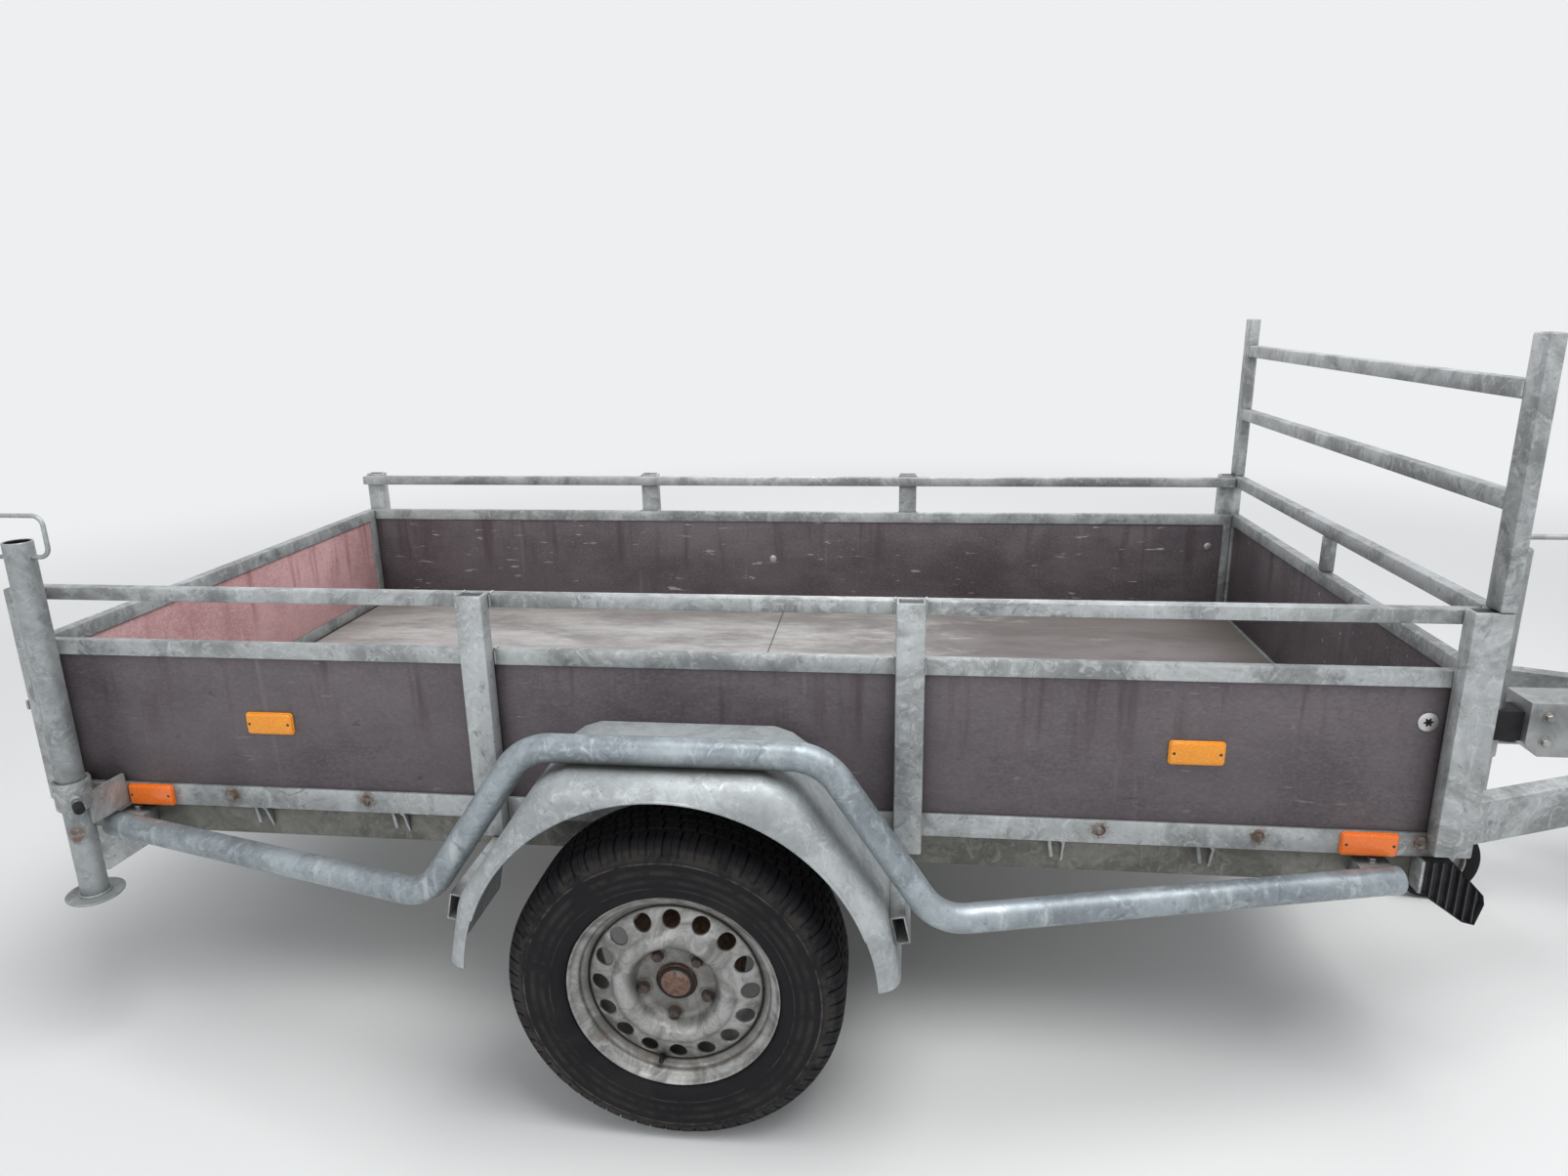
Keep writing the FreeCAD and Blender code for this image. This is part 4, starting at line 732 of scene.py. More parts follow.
SOFTENED = (
    # Nodes, edge radius, finish; slot and body where they are others than galvanised_steel and chassis
    ("side_sills side_rails side_railings front_frame head_rails rear_sill", 0.003, "steel"),
    ("drawbar_frame", 0.0025, "steel"),
    ("side_beams cross_members", 0.0025, "under"),
    ("axle_tube", 0.005, "under"),
    ("lamp_bar guard_brackets sill_gussets gate_hinges chock_holder", 0.0008, "steel"),
    ("gate_frame", 0.0025, "steel", "galvanised_steel", "tailgate"),
    ("side_boards front_board", 0.0008, "board", "faced_plywood"),
    ("gate_board", 0.0008, "gate", "red_plywood", "tailgate"),
    ("overrun_housing", 0.004, "zinc", "zinc_plated_steel"),
    ("coupling_head", 0.0025, "zinc", "zinc_plated_steel"),
    ("jockey_clamp", 0.002, "black_paint", "zinc_plated_steel"),
    ("jockey_fork", 0.0012, "zinc", "zinc_plated_steel", "jockey_caster"),
    ("gate_latches", 0.001, "zinc", "zinc_plated_steel", "tailgate"),
    ("latch_keepers rod_hangers", 0.0008, "zinc", "zinc_plated_steel"),
)


def soften_all():
    for nodes, radius, finish, *rest in SOFTENED:
        for node in nodes.split():
            soften(node, radius, [finish], *rest)
    for node, radius, cap_size in (("side_posts", 0.004, 0.0004), ("head_posts", 0.003, 0.0004),
                                   ("head_stub", 0.003, 0.0003)):
        soften(node, radius, ["steel", "black"], cap_size=cap_size)
    for side, _ in SIDES:
        soften(f"mudguard_{side}", 0.0, ["mudguard"])


# Wheels

VENTS = 16
VENT_CIRCLE, VENT_OUT, VENT_SIDE = 0.1285, 0.0155, 0.015
PATCH_INNER, PATCH_OUTER = 0.109, 0.1475
BOLT_CIRCLE = 0.0575


def mm(*points):
    """Points given in millimetres, in metres."""
    return tuple((offset / 1000, radius / 1000) for offset, radius in points)


# Sections as (offset outwards from the wheel's middle plane, radius)
DISC_OUTER = mm((44, 150.2), (46.2, 149.3), (48, 147.5))
DISC_INNER = mm((59.6, 109), (62.2, 106), (65.4, 102), (67.6, 97), (68.2, 91.5), (67.4, 86), (64.8, 81),
                (59.8, 76.8), (53, 73.5), (46.2, 70.6), (41.8, 67.5), (40, 64), (39.6, 60), (39.6, 39),
                (38.8, 35.2), (37, 34))
BARREL = mm((70.4, 182.2), (73, 182.4), (74.4, 181.2), (74, 179.6), (71.6, 177.6), (68.4, 175.6),
            (65.8, 172.8), (64.2, 169), (62.6, 165.8), (59.6, 164), (55, 163.4), (52.4, 161.8), (51, 158.4),
            (49.4, 154.5), (47, 152.2), (42, 150.6), (30, 150), (-30, 150), (-52, 158), (-60, 164),
            (-69, 166), (-73.5, 174), (-74.4, 181), (-73, 182.4), (-70.4, 182.2), (-69.6, 176), (-66, 170),
            (-58, 168), (-30, 156), (30, 156), (56, 167), (64, 178))
SIDEWALL = mm((75, 183.6), (78.2, 185), (81.4, 188.4), (83.6, 192.5), (84.2, 194), (85.8, 201), (86.1, 204),
              (86.8, 204.8), (87.4, 206), (86.8, 207.4), (87.6, 215), (88.3, 226), (88.4, 234), (88, 242),
              (87, 249), (86.3, 250.4), (86.9, 251.6), (86.2, 256), (84, 261), (81.5, 266), (78.6, 271.2),
              (75.2, 276.2), (71.2, 280.6), (66.8, 283.8), (61.5, 285.8), (56, 286.8))
TREAD = mm((44, 287.3), (42.8, 280), (37.2, 280), (36, 287.5), (25.5, 287.5), (15, 287.5), (14, 280),
           (8.4, 280), (7.2, 287.5), (0, 287.5))
DRUM = mm((-31.9, 15.5), (-31.9, 100), (-30, 103), (-27, 103.9), (-20, 103.9), (-18, 102), (12, 102),
          (20, 100), (26, 94), (29, 86), (30, 70), (33, 60), (35.2, 56), (35.2, 32.2), (40, 31.8), (44, 31.6))
CAP_RING = mm((44, 31.6), (45.6, 30.6), (46.2, 28.6), (45.6, 25.6))
CAP = mm((45.6, 25.6), (46.8, 25), (47.4, 20), (47.8, 12), (48, 0.2))


def wheel_place(sign):
    """The wheel's middle with its own Z pointing outwards and Y up."""
    return looking((AXLE_X, sign * WHEEL_Y, AXLE_Z), (0, sign, 0))


def disc_patch(shape, place, index):
    """One sector of the disc with its oval vent, whose rim is pressed inwards."""
    per_side = 6
    half = pi / VENTS
    middle_turn = 2 * pi * index / VENTS

    def height(radius):
        span = (radius - PATCH_INNER) / (PATCH_OUTER - PATCH_INNER)
        return 0.0596 + (0.048 - 0.0596) * span + 0.0012 * sin(pi * span)

    corners = ((-half, PATCH_INNER), (half, PATCH_INNER), (half, PATCH_OUTER), (-half, PATCH_OUTER))
    border = [(a + (c - a) * k / per_side, b + (d - b) * k / per_side)
              for (a, b), (c, d) in zip(corners, corners[1:] + corners[:1]) for k in range(per_side)]
    rings = [[(turn, radius, height(radius)) for turn, radius in border]]
    # Growth of the oval, drop inwards, and the share of the way from the border to the oval
    for growth, drop, blend in ((1.16, 0.0, 0.55), (1.16, 0.0, 1.0), (1.05, 0.0006, 1.0), (1.0, 0.002, 1.0),
                                (0.98, 0.0045, 1.0)):
        ring = []
        for turn, radius in border:
            away = atan2(turn / half, (radius - VENT_CIRCLE) / ((PATCH_OUTER - PATCH_INNER) / 2))
            oval_turn = VENT_SIDE * growth * sin(away) / VENT_CIRCLE
            oval_radius = VENT_CIRCLE + VENT_OUT * growth * cos(away)
            out = radius + (oval_radius - radius) * blend
            ring.append((turn + (oval_turn - turn) * blend, out, height(out) - drop))
        rings.append(ring)
    shape.skin([[(radius * sin(middle_turn + turn), radius * cos(middle_turn + turn), up)
                 for turn, radius, up in ring] for ring in rings], place, caps=False)


def build_rim(side, sign):
    place = wheel_place(sign)
    disc = Shape()
    for index in range(VENTS):
        disc_patch(disc, place, index)
    # The turned rings have their first column where two sectors meet
    turned = place @ Matrix.Rotation(pi / 2 - pi / VENTS, 4, "Z")
    disc.lathe(DISC_OUTER, turned, VENTS * 6)
    disc.lathe(DISC_INNER, turned, VENTS * 6)
    work = disc.mesh()
    bmesh.ops.remove_doubles(work, verts=work.verts, dist=1e-5)
    bmesh.ops.recalc_face_normals(work, faces=work.faces)
    work.normal_update()
    if sum(face.normal.y * sign * face.calc_area() for face in work.faces) < 0:
        bmesh.ops.reverse_faces(work, faces=work.faces)
    bmesh.ops.solidify(work, geom=work.faces[:], thickness=0.0032)
    merged(work, 42.0)
    barrel = Shape()
    barrel.lathe(BARREL, place, 128, closed=True)
    for name, part in (("disc", work), ("barrel", barrel)):
        piece(f"wheel_{name}_{side}", part, ["wheel"], f"{side}_wheel", f"rim_{side}")


def build_tyre(side, sign):
    """Tread blocks between two pairs of grooves, sipes over the shoulders, rings on the sidewall."""
    half = SIDEWALL + TREAD
    profile = [*half, *((-offset, radius) for offset, radius in reversed(half[:-1]))]
    profile += [(-0.07, 0.183), (0.0, 0.183), (0.07, 0.183)]
    blocks = 64
    # Where a block's columns stand, as a share of its length, and how deep the groove is there
    columns = ((0.0, 0.0), (0.035, 1.0), (0.125, 1.0), (0.16, 0.0), (0.56, 0.0), (0.585, 0.35), (0.61, 0.0))

    def point(block, fraction, sunk, offset, radius):
        wide = abs(offset)
        shift = 0.0
        if wide < 0.0072 + 1e-6:
            shift = 0.5
        elif wide < 0.037:
            shift = 0.28 if offset > 0 else 0.78
        elif offset < 0:
            shift = 0.5
        depth, pull = 0.0, 0.0
        if 0.06 < wide < 0.085 and radius > 0.262:
            depth, pull = 0.003 * sunk, 0.0016 * sunk
        elif wide <= 0.06 and radius > 0.282:
            depth = 0.0055 * sunk
        angle = 2 * pi * (block + fraction + shift) / blocks
        out = radius - depth
        return (out * cos(angle), out * sin(angle),
                copysign(wide - pull, offset) if offset else 0.0)

    tyre = Shape()
    tyre.turned([[point(block, *column, *place) for place in profile] for block in range(blocks)
                 for column in columns], wheel_place(sign), closed=True)
    piece(f"tyre_tread_{side}", tyre, ["tyre"], f"{side}_wheel", f"tyre_{side}", 50.0)


def build_hub(side, sign):
    """Brake drum behind the disc, the rusty cap in its black ring, five bolts and the valve."""
    out, body = (0, sign, 0), f"{side}_wheel"
    drum = Shape()
    for tag, (profile, steps) in enumerate(((DRUM, 72), (CAP_RING, 48), (CAP, 48))):
        drum.tag = tag
        drum.lathe(profile, wheel_place(sign), steps)
    piece(f"hub_cap_{side}", drum, ["rust", "rubber", "cap_rust"], body, f"hub_{side}")

    bolts = Shape()
    for index in range(5):
        turn = radians(-90 + sign * (5 - 72 * index))
        x, z = AXLE_X + BOLT_CIRCLE * cos(turn), AXLE_Z + BOLT_CIRCLE * sin(turn)
        seat = (x, sign * (WHEEL_Y + 0.0394), z)
        bolts.tag = 0
        bolts.disc(seat, out, 0.015, 28, [(0, 0), (0.0016, 0.0012), (0.0016, 0.0045)])
        bolts.tag = 1
        bolts.disc(seat, out, 0.0112, 24, [(0, 0), (0.002, 0.0), (0.0032, 0.0014)])
        bolts.bolt((x, sign * (WHEEL_Y + 0.0415), z), out, 0.017, 0.0095)
    piece(f"wheel_bolts_{side}", bolts, ["wheel", "dark_bolt"], body)

    reach, turn = 0.15, radians(-101)
    base = Vector((AXLE_X + reach * cos(turn), sign * (WHEEL_Y + 0.045), AXLE_Z + reach * sin(turn)))
    lean = Vector((-cos(turn) * 0.3, sign * 0.95, -sin(turn) * 0.3)).normalized()
    stem = Shape()
    stem.disc(base, lean, 0.0078, 20, [(-0.004, 0), (0.003, 0.0008), (0.006, 0.003)])
    stem.disc(base, lean, 0.005, 20, [(0.004, 0), (0.0185, 0.0008)])
    stem.disc(base, lean, 0.0046, 12, [(0.017, 0), (0.0245, 0), (0.026, 0.0012)])
    piece(f"wheel_valve_{side}", stem, ["rubber"], body)


# Tubes and what holds them

def build_guard(side, sign):
    """The tube bent around a mudguard."""
    low, high = 0.43, 0.71
    inner, outer = sign * 0.673, sign * (WHEEL_Y + 0.04)
    stations = ((GUARD_REAR, inner, low), (-0.427, outer, low), (-0.232, outer, high), (0.249, outer, high),
                (0.435, outer, low), (GUARD_FRONT, inner, low))
    guard = Shape()
    guard.tube(arc_path([(AXLE_X + along, y, z) for along, y, z in stations], 0.09, 12), 0.024, 32)
    piece(f"guard_tube_{side}", guard, ["guard"], replaced=f"tube_guard_{side}")


def build_stand(side, sign, foot_z):
    top = foot_z + 0.701
    x, y = STAND_X, sign * STAND_Y
    place = Matrix.Translation((x, y, 0))
    stand = Shape()
    stand.lathe(((foot_z + 0.004, 0.0235), (foot_z + 0.006, 0.024), (top - 0.001, 0.024), (top, 0.0232),
                 (top, 0.0214), (top - 0.001, 0.0206)), place, 48)
    # Foot plate with a turned-up rim and its weld
    stand.lathe([(foot_z + up, radius) for up, radius in (
        (0.0035, 0.0002), (0.0035, 0.04), (0, 0.043), (0, 0.047), (0.003, 0.0497), (0.006, 0.0499),
        (0.006, 0.0465), (0.0048, 0.044), (0.0056, 0.024))], place, 56)
    stand.tube([(x + a, y + b, foot_z + 0.0068) for a, b in closed_circle(0.0252, 72)], 0.0024, 8, 0.18, 3)
    wide, low, high = 0.057, top - 0.028, top + 0.046
    handle = [(x - 0.02, y, low), (x - wide, y, low), (x - wide, y, high), (x + wide, y, high),
              (x + wide, y, low), (x + 0.02, y, low)]
    stand.tube(arc_path(handle, 0.018), 0.004)
    for end in (-0.0225, 0.0225):
        stand.tube([(x + end, y + a, low + b) for a, b in closed_circle(0.005, 20)], 0.0018, 8, 0.25, 5)
    # Painted shade: a dark lining and floor inside the tube's open top.
    stand.tag = 1
    stand.lathe(((top - 0.001, 0.0206), (top - 0.02, 0.0206), (top - 0.02, 0.0002)), place, 48)
    piece(f"stand_tube_{side}", stand, ["stand", "dark"], body=f"{side}_stand", replaced=f"stand_{side}")


def build_clamp():
    """Ring, plate with two cheeks, bolts, pinch lug and the tommy bar's rubber end on both sides."""
    clamp, rubber_end = Shape(), Shape()
    bottom, height = 0.498, 0.056
    top = bottom + height
    plate_x = STAND_X - 0.006
    foot_z = SILL_LOW + 0.003
    for sign in SIGNS:
        y, out = sign * STAND_Y, (0, sign, 0)
        clamp.lathe(((bottom + 0.001, 0.0243), (bottom, 0.0252), (bottom, 0.0302), (bottom + 0.002, 0.0314),
                     (top - 0.002, 0.0314), (top, 0.0302), (top, 0.0252), (top - 0.001, 0.0243)),
                    Matrix.Translation((STAND_X, y, 0)), 56, closed=True)
        clamp.plate((plate_x, sign * RAIL_Y, (SILL_TOP + foot_z) / 2), out, 0.084, SILL_TOP - foot_z, 0.004,
                    [(0.0002, 0.0), (0.0062, 0.0), (0.007, 0.0008)])
        for end in (-1, 1):
            foot, ring, inward = plate_x + end * 0.042, STAND_X + end * 0.031, -end * 0.007
            outer_y = sign * (RAIL_Y + 0.006)
            corners = [(foot, outer_y), (ring, y), (ring + inward, y), (foot + inward, outer_y)]
            clamp.skin([[(*corner, z) for corner in corners] for z in (foot_z + 0.0008, bottom + height / 2)])
        for shift in (-0.011, 0.011):
            clamp.bolt((plate_x + shift, sign * (RAIL_Y + 0.0068), foot_z + 0.016), out, 0.013, 0.006, 0.019)
        # Pinch lug behind the ring with its bolt
        clamp.plate((STAND_X - 0.026, y - sign * 0.004, bottom + 0.03), BACK, 0.014, 0.04, 0.004,
                    [(0, 0), (0.0115, 0), (0.0125, 0.0008)])
        clamp.bolt((STAND_X - 0.031, y + sign * 0.003, bottom + 0.03), out, 0.012, 0.006)
        root = Vector((STAND_X + 0.022, y + sign * 0.022, bottom + 0.024))
        lean = Vector((1, sign * 0.9, -0.15)).normalized()
        clamp.disc(root, lean, 0.0105, 24, [(-0.004, 0), (0.007, 0), (0.009, 0.0015)])
        clamp.tube([root, root + lean * 0.036], 0.0048)
        rubber_end.disc(root, lean, 0.0092, 28, [(0.02, 0.003), (0.023, 0), (0.041, 0), (0.046, 0.0026)])
    piece("stand_clamp_parts", clamp, ["steel"], replaced="stand_clamps")
    piece("tommy_bar_ends", rubber_end, ["rubber"])


# Reflectors, lamps and small fittings

REFLECTORS = (
    # Place, finish, distances back, height, distance out
    ("board", "amber", (2.142, 0.446), 0.638, 0.64),
    ("sill", "orange", (2.413, 0.149), 0.481, 0.645),
)


def build_reflectors():
    """A frame, the lens on it, and two screws."""
    for name, finish, backs, z, face in REFLECTORS:
        shape = Shape()
        for x in (FRONT_X - back for back in backs):
            for sign in SIGNS:
                origin, out = (x, sign * face, z), (0, sign, 0)
                shape.tag = 1
                shape.plate(origin, out, 0.094, 0.044, 0.0065, [(0, 0), (0.0028, 0), (0.0034, 0.0006)])
                shape.tag = 0
                shape.plate(origin, out, 0.091, 0.041, 0.0058,
                            [(0.003, 0), (0.0056, 0.0002), (0.007, 0.0016), (0.0076, 0.0048)])
                shape.tag = 2
                for end in (-1, 1):
                    shape.screw((x + end * 0.0385, sign * (face + 0.0064), z), out, 0.0034, 0.0014)
        piece(f"{name}_reflector_plates", shape, [finish, finish, "dark_bolt"],
              replaced="side_reflectors")


def build_lamps():
    """Each lamp: a black tray with an amber lens outside, a red one, and the red brake light inside."""
    lamp = Shape()
    front, z = REAR_X + 0.02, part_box("rear_lamps")[0].z + 0.042
    for sign in SIGNS:
        y = sign * 0.505
        lamp.tag = 0
        lamp.plate((front - 0.0002, y, z), BACK, 0.215, 0.084, 0.008,
                   [(-0.036, 0.006), (-0.004, 0.001), (0.0015, 0.0), (0.0022, 0.0008)])
        for shift, wide, tag in ((0.0745, 0.06, 1), (0.006, 0.07, 2), (-0.067, 0.068, 2)):
            lamp.tag = tag
            lamp.plate((front, y + sign * shift, z), BACK, wide, 0.078, 0.006,
                       [(0.0015, 0), (0.0066, 0.0004), (0.0082, 0.0018), (0.0086, 0.005)])
        lamp.tag = 3
        for shift in (0.041, -0.031):
            for up in (0.03, -0.03):
                lamp.screw((front - 0.0022, y + sign * shift, z + up), BACK, 0.003, 0.0014)
    piece("rear_lamp_lenses", lamp, ["black", "amber", "red", "zinc"], replaced="rear_lamps")


def build_body_bolts():
    """Sill bolts, the coach bolts through the boards, and the bolts of the guards' end lugs."""
    front_bolt, middle_bolt = (0.083, 0.706), (1.335, 0.655)
    bolts = Shape()
    for sign in SIGNS:
        out = (0, sign, 0)
        bolts.tag = 1
        for back in SILL_BOLTS:
            bolts.bolt((FRONT_X - back, sign * RAIL_Y, SILL_BOLT_Z), out, 0.013, 0.0065, 0.022)
        # A washer and a star recess outside at the front, and domes inside
        x, z = FRONT_X - front_bolt[0], front_bolt[1]
        bolts.tag = 3
        bolts.disc((x, sign * BOARD_Y, z), out, 0.0165, 36, [(0, 0), (0.0014, 0), (0.002, 0.0008)])
        # Painted shade: the star recess is drawn as a thin dark star on the washer.
        bolts.tag = 2
        bolts.stack(star_outline(0.008, 0.0048, 6), [(0, 0), (0.0004, 0)],
                    looking((x, sign * (BOARD_Y + 0.002), z), out))
        bolts.tag = 0
        for back, z in (front_bolt, middle_bolt):
            bolts.disc((FRONT_X - back, sign * BOARD_INNER_Y, z), (0, -sign, 0), 0.011, 28,
                       [(0, 0), (0.001, 0.0004), (0.0026, 0.004), (0.0031, 0.008)])
        for x in (AXLE_X + GUARD_REAR + 0.031, AXLE_X + GUARD_FRONT - 0.031):
            bolts.bolt((x, sign * 0.64, 0.4449), UP, 0.013, 0.0065, 0.02)
    piece("body_bolts", bolts, ["bolt", "worn_bolt", "dark", "washer"])


def build_coupling_bolts():
    """The overrun housing's bolts and grease nipples, the lever's pivot and the coupling's bolt."""
    gear = Shape()
    start = FRONT_X + 0.436
    for sign in SIGNS:
        for along, z in ((0.04, 0.482), (0.04, 0.424), (0.18, 0.424), (0.345, 0.482), (0.345, 0.424)):
            gear.bolt((start + along, sign * 0.05, z), (0, sign, 0), 0.017, 0.008, 0.026)
    for along in (0.475, 0.505):
        gear.disc((start + along, 0, 0.5155), UP, 0.005, 12, [(0, 0), (0.006, 0.001), (0.009, 0.003)])
    gear.bolt((LEVER_PIVOT[0], 0.0775, LEVER_PIVOT[2]), (0, 1, 0), 0.013, 0.0015)
    for sign in SIGNS:
        gear.bolt((FRONT_X + 1.302 - 0.075, sign * 0.036, 0.458), (0, sign, 0), 0.017, 0.008, 0.026)
    piece("coupling_bolts", gear, ["bolt"])


def build_rear_screws():
    """Screws of the gate's latches and hinges, and the bolts of the number plate's place."""
    gate, under = Shape(), Shape()
    for sign in SIGNS:
        latch_y, hinge_y = sign * (0.62 - 0.004 - 0.024), sign * HINGE_Y
        for dy, dz in ((-0.018, 0.027), (0.018, 0.027), (-0.018, -0.027), (0.018, -0.027)):
            gate.screw((REAR_X - 0.006, latch_y + dy, 0.672 + dz), BACK, 0.0036, 0.002)
        for dy in (-0.03, -0.012):
            for z in (0.522, 0.546):
                gate.screw((REAR_X - 0.004, hinge_y + dy - 0.003, z), BACK, 0.0038, 0.0022)
            for z in (0.448, 0.474):
                under.screw((REAR_X - 0.004, hinge_y - dy + 0.003, z), BACK, 0.0038, 0.0022)
        for z in (0.38, 0.32):
            under.bolt((REAR_X + 0.02 - 0.0002, sign * 0.37, z), BACK, 0.01, 0.005, 0.016)
    piece("gate_screws", gate, ["bolt"], "tailgate")
    piece("rear_screws", under, ["bolt"])


def build_welds():
    """Beads where rails meet posts, and where pins and gussets meet the sill."""
    beads = Shape()
    for sign in SIGNS:
        y = sign * (RAIL_Y + 0.0004)
        for x in (centre + end * 0.0262 for centre in MID_POSTS for end in (-1, 1)):
            for low, high in ((RAIL_TOP - 0.03 + 0.002, RAIL_TOP - 0.002),
                              (RAILING_TOP - 0.023, RAILING_TOP - 0.002),
                              (SILL_LOW + 0.003, SILL_TOP - 0.003)):
                beads.weld((x, y, low), (x, y, high))
            for z in (RAIL_TOP + 0.0004, RAILING_TOP + 0.0004):
                beads.weld((x, sign * (RAIL_Y - 0.018), z), (x, sign * (RAIL_Y - 0.002), z), 0.0022)
        for x in (FRONT_X - back for back in PINS):
            pin_y, low, gusset_z = sign * (RAIL_Y - 0.01), SILL_LOW - 0.001, SILL_LOW - 0.0008
            beads.weld((x - 0.006, pin_y, low), (x + 0.006, pin_y, low), 0.003)
            beads.weld((x + 0.0215, sign * 0.628, gusset_z), (x + 0.0215, sign * 0.643, gusset_z))
    for z in (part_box("head_rails")[1].z, POST_TOP):
        for y in (sign * (POST_Y - 0.045 - 0.0005) for sign in SIGNS):
            for x in (FRONT_X - 0.0005, FRONT_X - 0.0245):
                beads.weld((x, y, z - 0.027), (x, y, z - 0.003))
    piece("weld_beads", beads, ["weld"], angle=80.0)


def build_pins():
    pins = Shape()
    for x, y in ((FRONT_X - back, sign * (RAIL_Y - 0.01)) for sign in SIGNS for back in PINS):
        pins.tube([(x, y, SILL_LOW + 0.0005), (x + 0.0045, y, SILL_LOW - 0.03),
                   (x + 0.0049, y, SILL_LOW - 0.0332), (x + 0.005, y, SILL_LOW - 0.034)], 0.0039)
    piece("tarp_pin_bars", pins, ["steel"], replaced="tarp_pins")


def build_lips():
    """The rolled bead along each mudguard's wheel arch."""
    reach, arch_z, steps = 0.3432, 0.312, 60
    for side, sign in SIDES:
        y = sign * (WHEEL_Y + 0.108 - 0.0028)
        turns = [radians(20 + 140 * step / steps) for step in range(steps + 1)]
        lip = Shape()
        lip.tube([(AXLE_X + reach * cos(turn), y, arch_z + reach * sin(turn)) for turn in turns], 0.0028, 12)
        piece(f"mudguard_lip_{side}", lip, ["mudguard"])


def build_chock():
    """The wheel chock: pockets moulded into both its sides, with ribs across them."""
    wall, depth, rib = 0.0035, 0.012, 0.0013
    work = cad_mesh("wheel_chock")
    work.normal_update()
    low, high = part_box("wheel_chock")
    ribs = Shape()
    for face in [face for face in work.faces if abs(face.normal.y) > 0.99]:
        normal = face.normal.copy()
        level = face.calc_center_median().y
        corners = [(vert.co.x, vert.co.z) for vert in face.verts]
        bmesh.ops.inset_individual(work, faces=[face], thickness=wall)
        bmesh.ops.translate(work, verts=face.verts, vec=-normal * depth)
        for step in range(1, 7):
            x = low.x + (high.x - low.x) * step / 7
            crossed = []
            for (x0, z0), (x1, z1) in zip(corners, corners[1:] + corners[:1]):
                if (x0 - x) * (x1 - x) < 0:
                    crossed.append(z0 + (z1 - z0) * (x - x0) / (x1 - x0))
            foot, head = min(crossed) + wall * 0.5, max(crossed) - wall * 0.5
            middle = Vector((x, level - normal.y * depth * 0.55, (foot + head) / 2))
            ribs.stack(rounded_outline(rib * 2, head - foot, 0.0004, 1),
                       [(-depth * 0.5, 0), (depth * 0.45, 0)], looking(middle, normal))
    merged(work, 30.0)
    piece("wheel_chock_shell", work, ["black"], replaced="wheel_chock")
    piece("wheel_chock_ribs", ribs, ["black"])


# Drawbar fittings and the jockey wheel

def build_bellows():
    profile = [(0.0, 0.0256), (0.0, 0.0345), (0.001, 0.0355), (0.01, 0.0355), (0.0112, 0.034)]
    for fold in range(6):
        base = 0.013 + fold * 0.0142
        profile += [(base, 0.0285), (base + 0.0018, 0.028), (base + 0.006, 0.0355), (base + 0.0074, 0.0366),
                    (base + 0.0088, 0.0355), (base + 0.0128, 0.0282)]
    profile += [(0.0995, 0.029), (0.1, 0.031), (0.109, 0.031), (0.11, 0.03), (0.11, 0.0256)]
    bellows = Shape()
    place = looking((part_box("shaft_bellows")[0].x, 0, 0.452), (1, 0, 0))
    bellows.lathe(profile, place, 56, closed=True)
    bellows.tag = 1
    bellows.lathe(((0.003, 0.0356), (0.003, 0.0364), (0.008, 0.0364), (0.008, 0.0356)), place, 56)
    piece("bellows_folds", bellows, ["rubber", "zinc"], replaced="shaft_bellows")


JOCKEY_TYRE = mm((20.5, 66.4), (22.5, 69), (23.6, 74), (24, 82), (23.2, 89), (21, 94.5), (17, 98), (11, 99.6),
                 (10.4, 97.8), (8, 97.8), (7.4, 99.9), (0, 100))
JOCKEY_RIM = mm((20.5, 65.7), (22.2, 64), (22.2, 60), (19, 58.5), (12, 57), (11, 48), (11.2, 30), (16, 24),
                (24.5, 20), (24.9, 19), (24.9, 8.2))


def mirrored(half, shared):
    """A profile and its mirror image; the last points may be shared by both."""
    return [*half, *((-offset, radius) for offset, radius in reversed(half[:len(half) - shared]))]


def build_jockey():
    """The jockey wheel's rounded tyre and its rim with five spokes."""
    place = looking((JOCKEY_X - 0.07, 0, 0.1), (0, 1, 0))
    tyre, rim = Shape(), Shape()
    tyre.lathe(mirrored(JOCKEY_TYRE, 1), place, 72, closed=True)
    piece("jockey_tyre_round", tyre, ["tyre"], "jockey_roller", "jockey_tyre")
    rim.lathe(mirrored(JOCKEY_RIM, 0), place, 64, closed=True)
    near, far = 0.02, 0.057
    for turn in range(5):
        spoke = place @ Matrix.Rotation(2 * pi * turn / 5, 4, "Z")
        for sign in SIGNS:
            points = [(reach, wide, sign * up) for wide, near_up, far_up in ((0.002, 0.0112, 0.0112),
                                                                             (0.0014, 0.02, 0.017))
                      for reach, wide, up in ((near, -wide, near_up), (far, -wide, far_up),
                                              (far, wide, far_up), (near, wide, near_up))]
            rim.add(points, [(4, 5, 6, 7), (0, 1, 5, 4), (1, 2, 6, 5), (2, 3, 7, 6), (3, 0, 4, 7)], spoke)
    piece("jockey_rim_round", rim, ["wheel"], "jockey_roller", "jockey_rim")


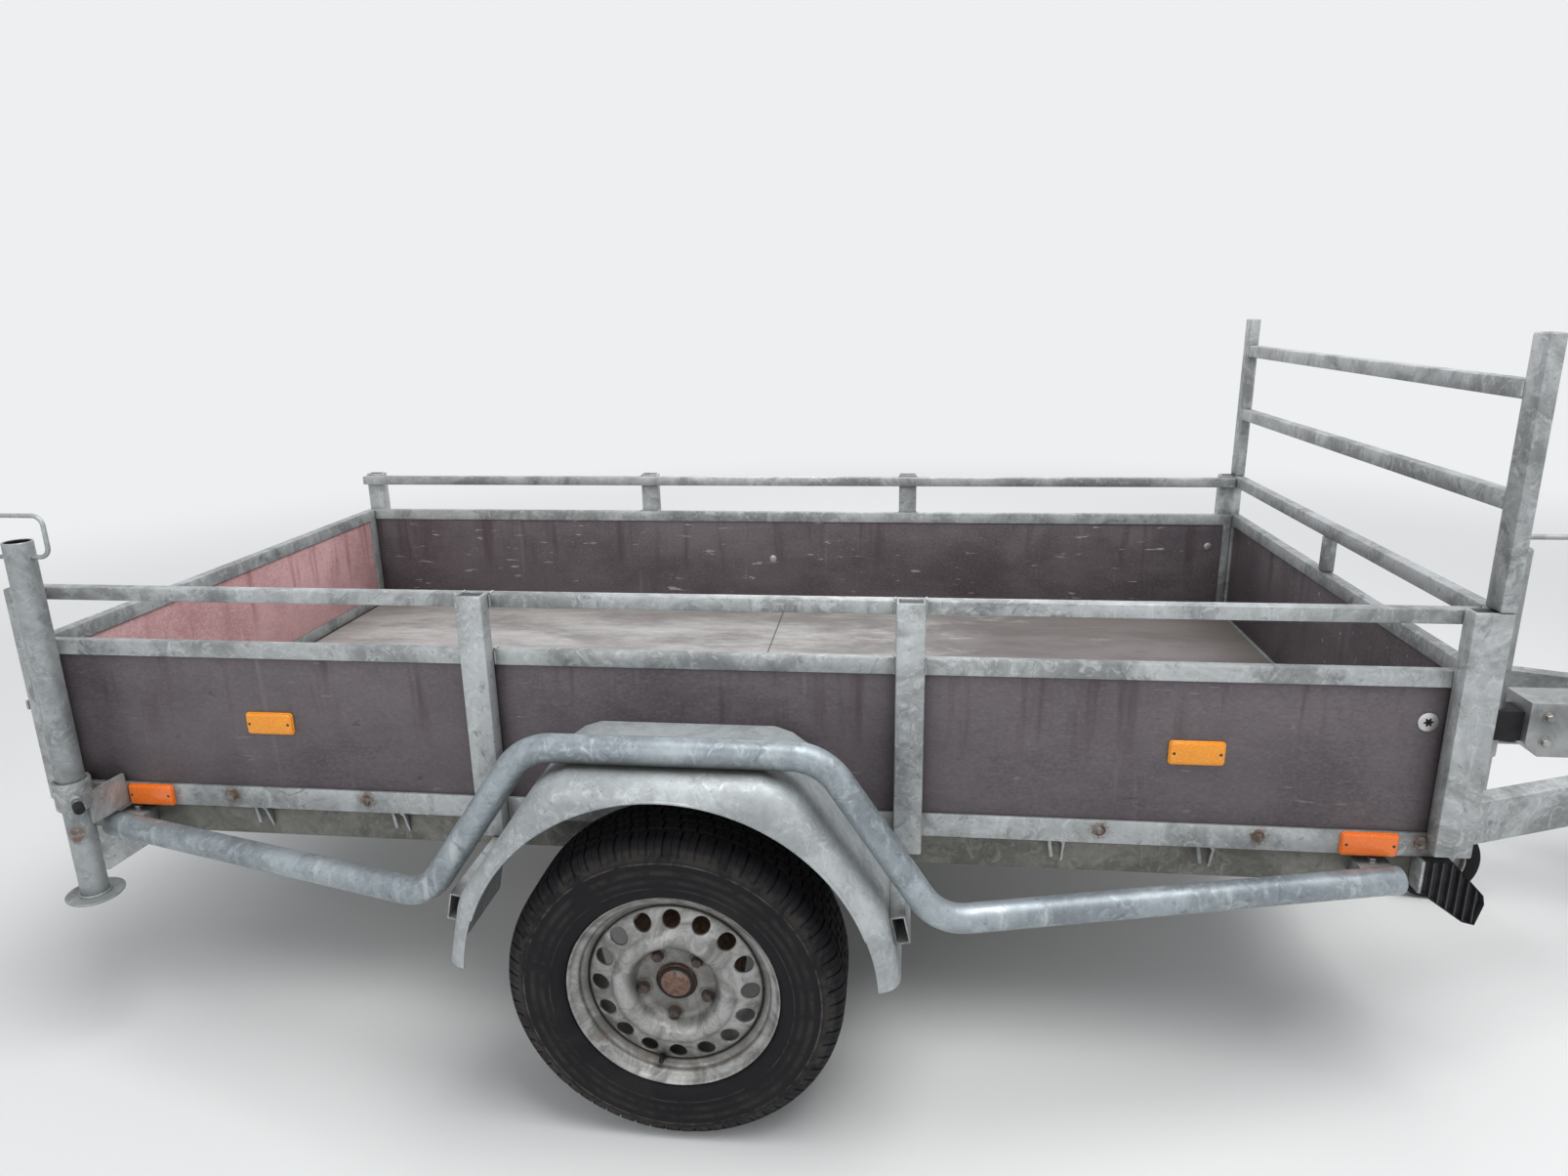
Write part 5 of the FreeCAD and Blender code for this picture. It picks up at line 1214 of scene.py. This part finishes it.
def build_crank():
    """The jockey wheel's head, arm and grip."""
    place = Matrix.Translation((JOCKEY_X, 0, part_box("jockey_sleeve")[1].z))
    arm_z, end_x = 0.88, JOCKEY_X + 0.118
    crank = Shape()
    crank.stack(round_outline(0.0243, 40), [(0, 0), (0.011, 0), (0.014, 0.003)], place)
    crank.stack(round_outline(0.009, 24), [(0.012, 0), (0.044, 0), (0.046, 0.0015)], place)
    arm = arc_path([(JOCKEY_X - 0.003, 0, arm_z), (end_x, 0, arm_z), (end_x, 0, arm_z + 0.03)], 0.012)
    crank.tube(arm, 0.006, 20)
    crank.tag = 1
    crank.lathe(((0.0, 0.0002), (0.0, 0.005), (0.001, 0.0058), (0.012, 0.006), (0.03, 0.0054),
                 (0.044, 0.006), (0.048, 0.0048), (0.0495, 0.0002)),
                Matrix.Translation((end_x, 0, arm_z + 0.02)), 28)
    piece("crank_arm", crank, ["zinc", "rubber"], replaced="jockey_crank")


def build_lever():
    """The handbrake lever with a ribbed rubber grip and a release button."""
    pivot = Vector(LEVER_PIVOT)
    start, knee, end = (pivot + Vector(reach) for reach in
                        ((0.01, 0, 0.006), (0.06, 0, 0.052), (0.38, 0, 0.062)))
    lever = Shape()
    lever.lathe(((-0.011, 0.0081), (-0.011, 0.016), (-0.01, 0.017), (0.01, 0.017), (0.011, 0.016),
                 (0.011, 0.0081)), looking(pivot, (0, 1, 0)), 40, closed=True)
    lever.tube(arc_path([start, knee, end], 0.04, 10), 0.007, 20)
    along = Vector((0.32, 0, 0.01)).normalized()
    profile = [(0.0, 0.0075), (0.001, 0.0115), (0.004, 0.0122)]
    for rib in range(11):
        base = 0.008 + rib * 0.009
        profile += [(base, 0.0122), (base + 0.0012, 0.013), (base + 0.0058, 0.013), (base + 0.007, 0.0122)]
    profile += [(0.11, 0.0128), (0.114, 0.0118), (0.1155, 0.0085), (0.1155, 0.0002)]
    lever.tag = 1
    lever.lathe(profile, looking(end - along * 0.11, along), 28)
    piece("lever_and_grip", lever, ["zinc", "rubber"], "handbrake", "handbrake_lever")


def build_all():
    soften_all()
    for side, sign in SIDES:
        build_rim(side, sign)
        build_tyre(side, sign)
        build_hub(side, sign)
        build_guard(side, sign)
        build_stand(side, sign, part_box(f"stand_{side}")[0].z)
    for build in (build_clamp, build_reflectors, build_lamps, build_body_bolts, build_coupling_bolts,
                  build_rear_screws, build_welds, build_pins, build_lips, build_chock, build_bellows,
                  build_jockey, build_crank, build_lever):
        build()


set_camera()
set_light()
set_floor()
dress_nodes()
build_all()
bpy.context.scene.view_settings.view_transform = "Standard"
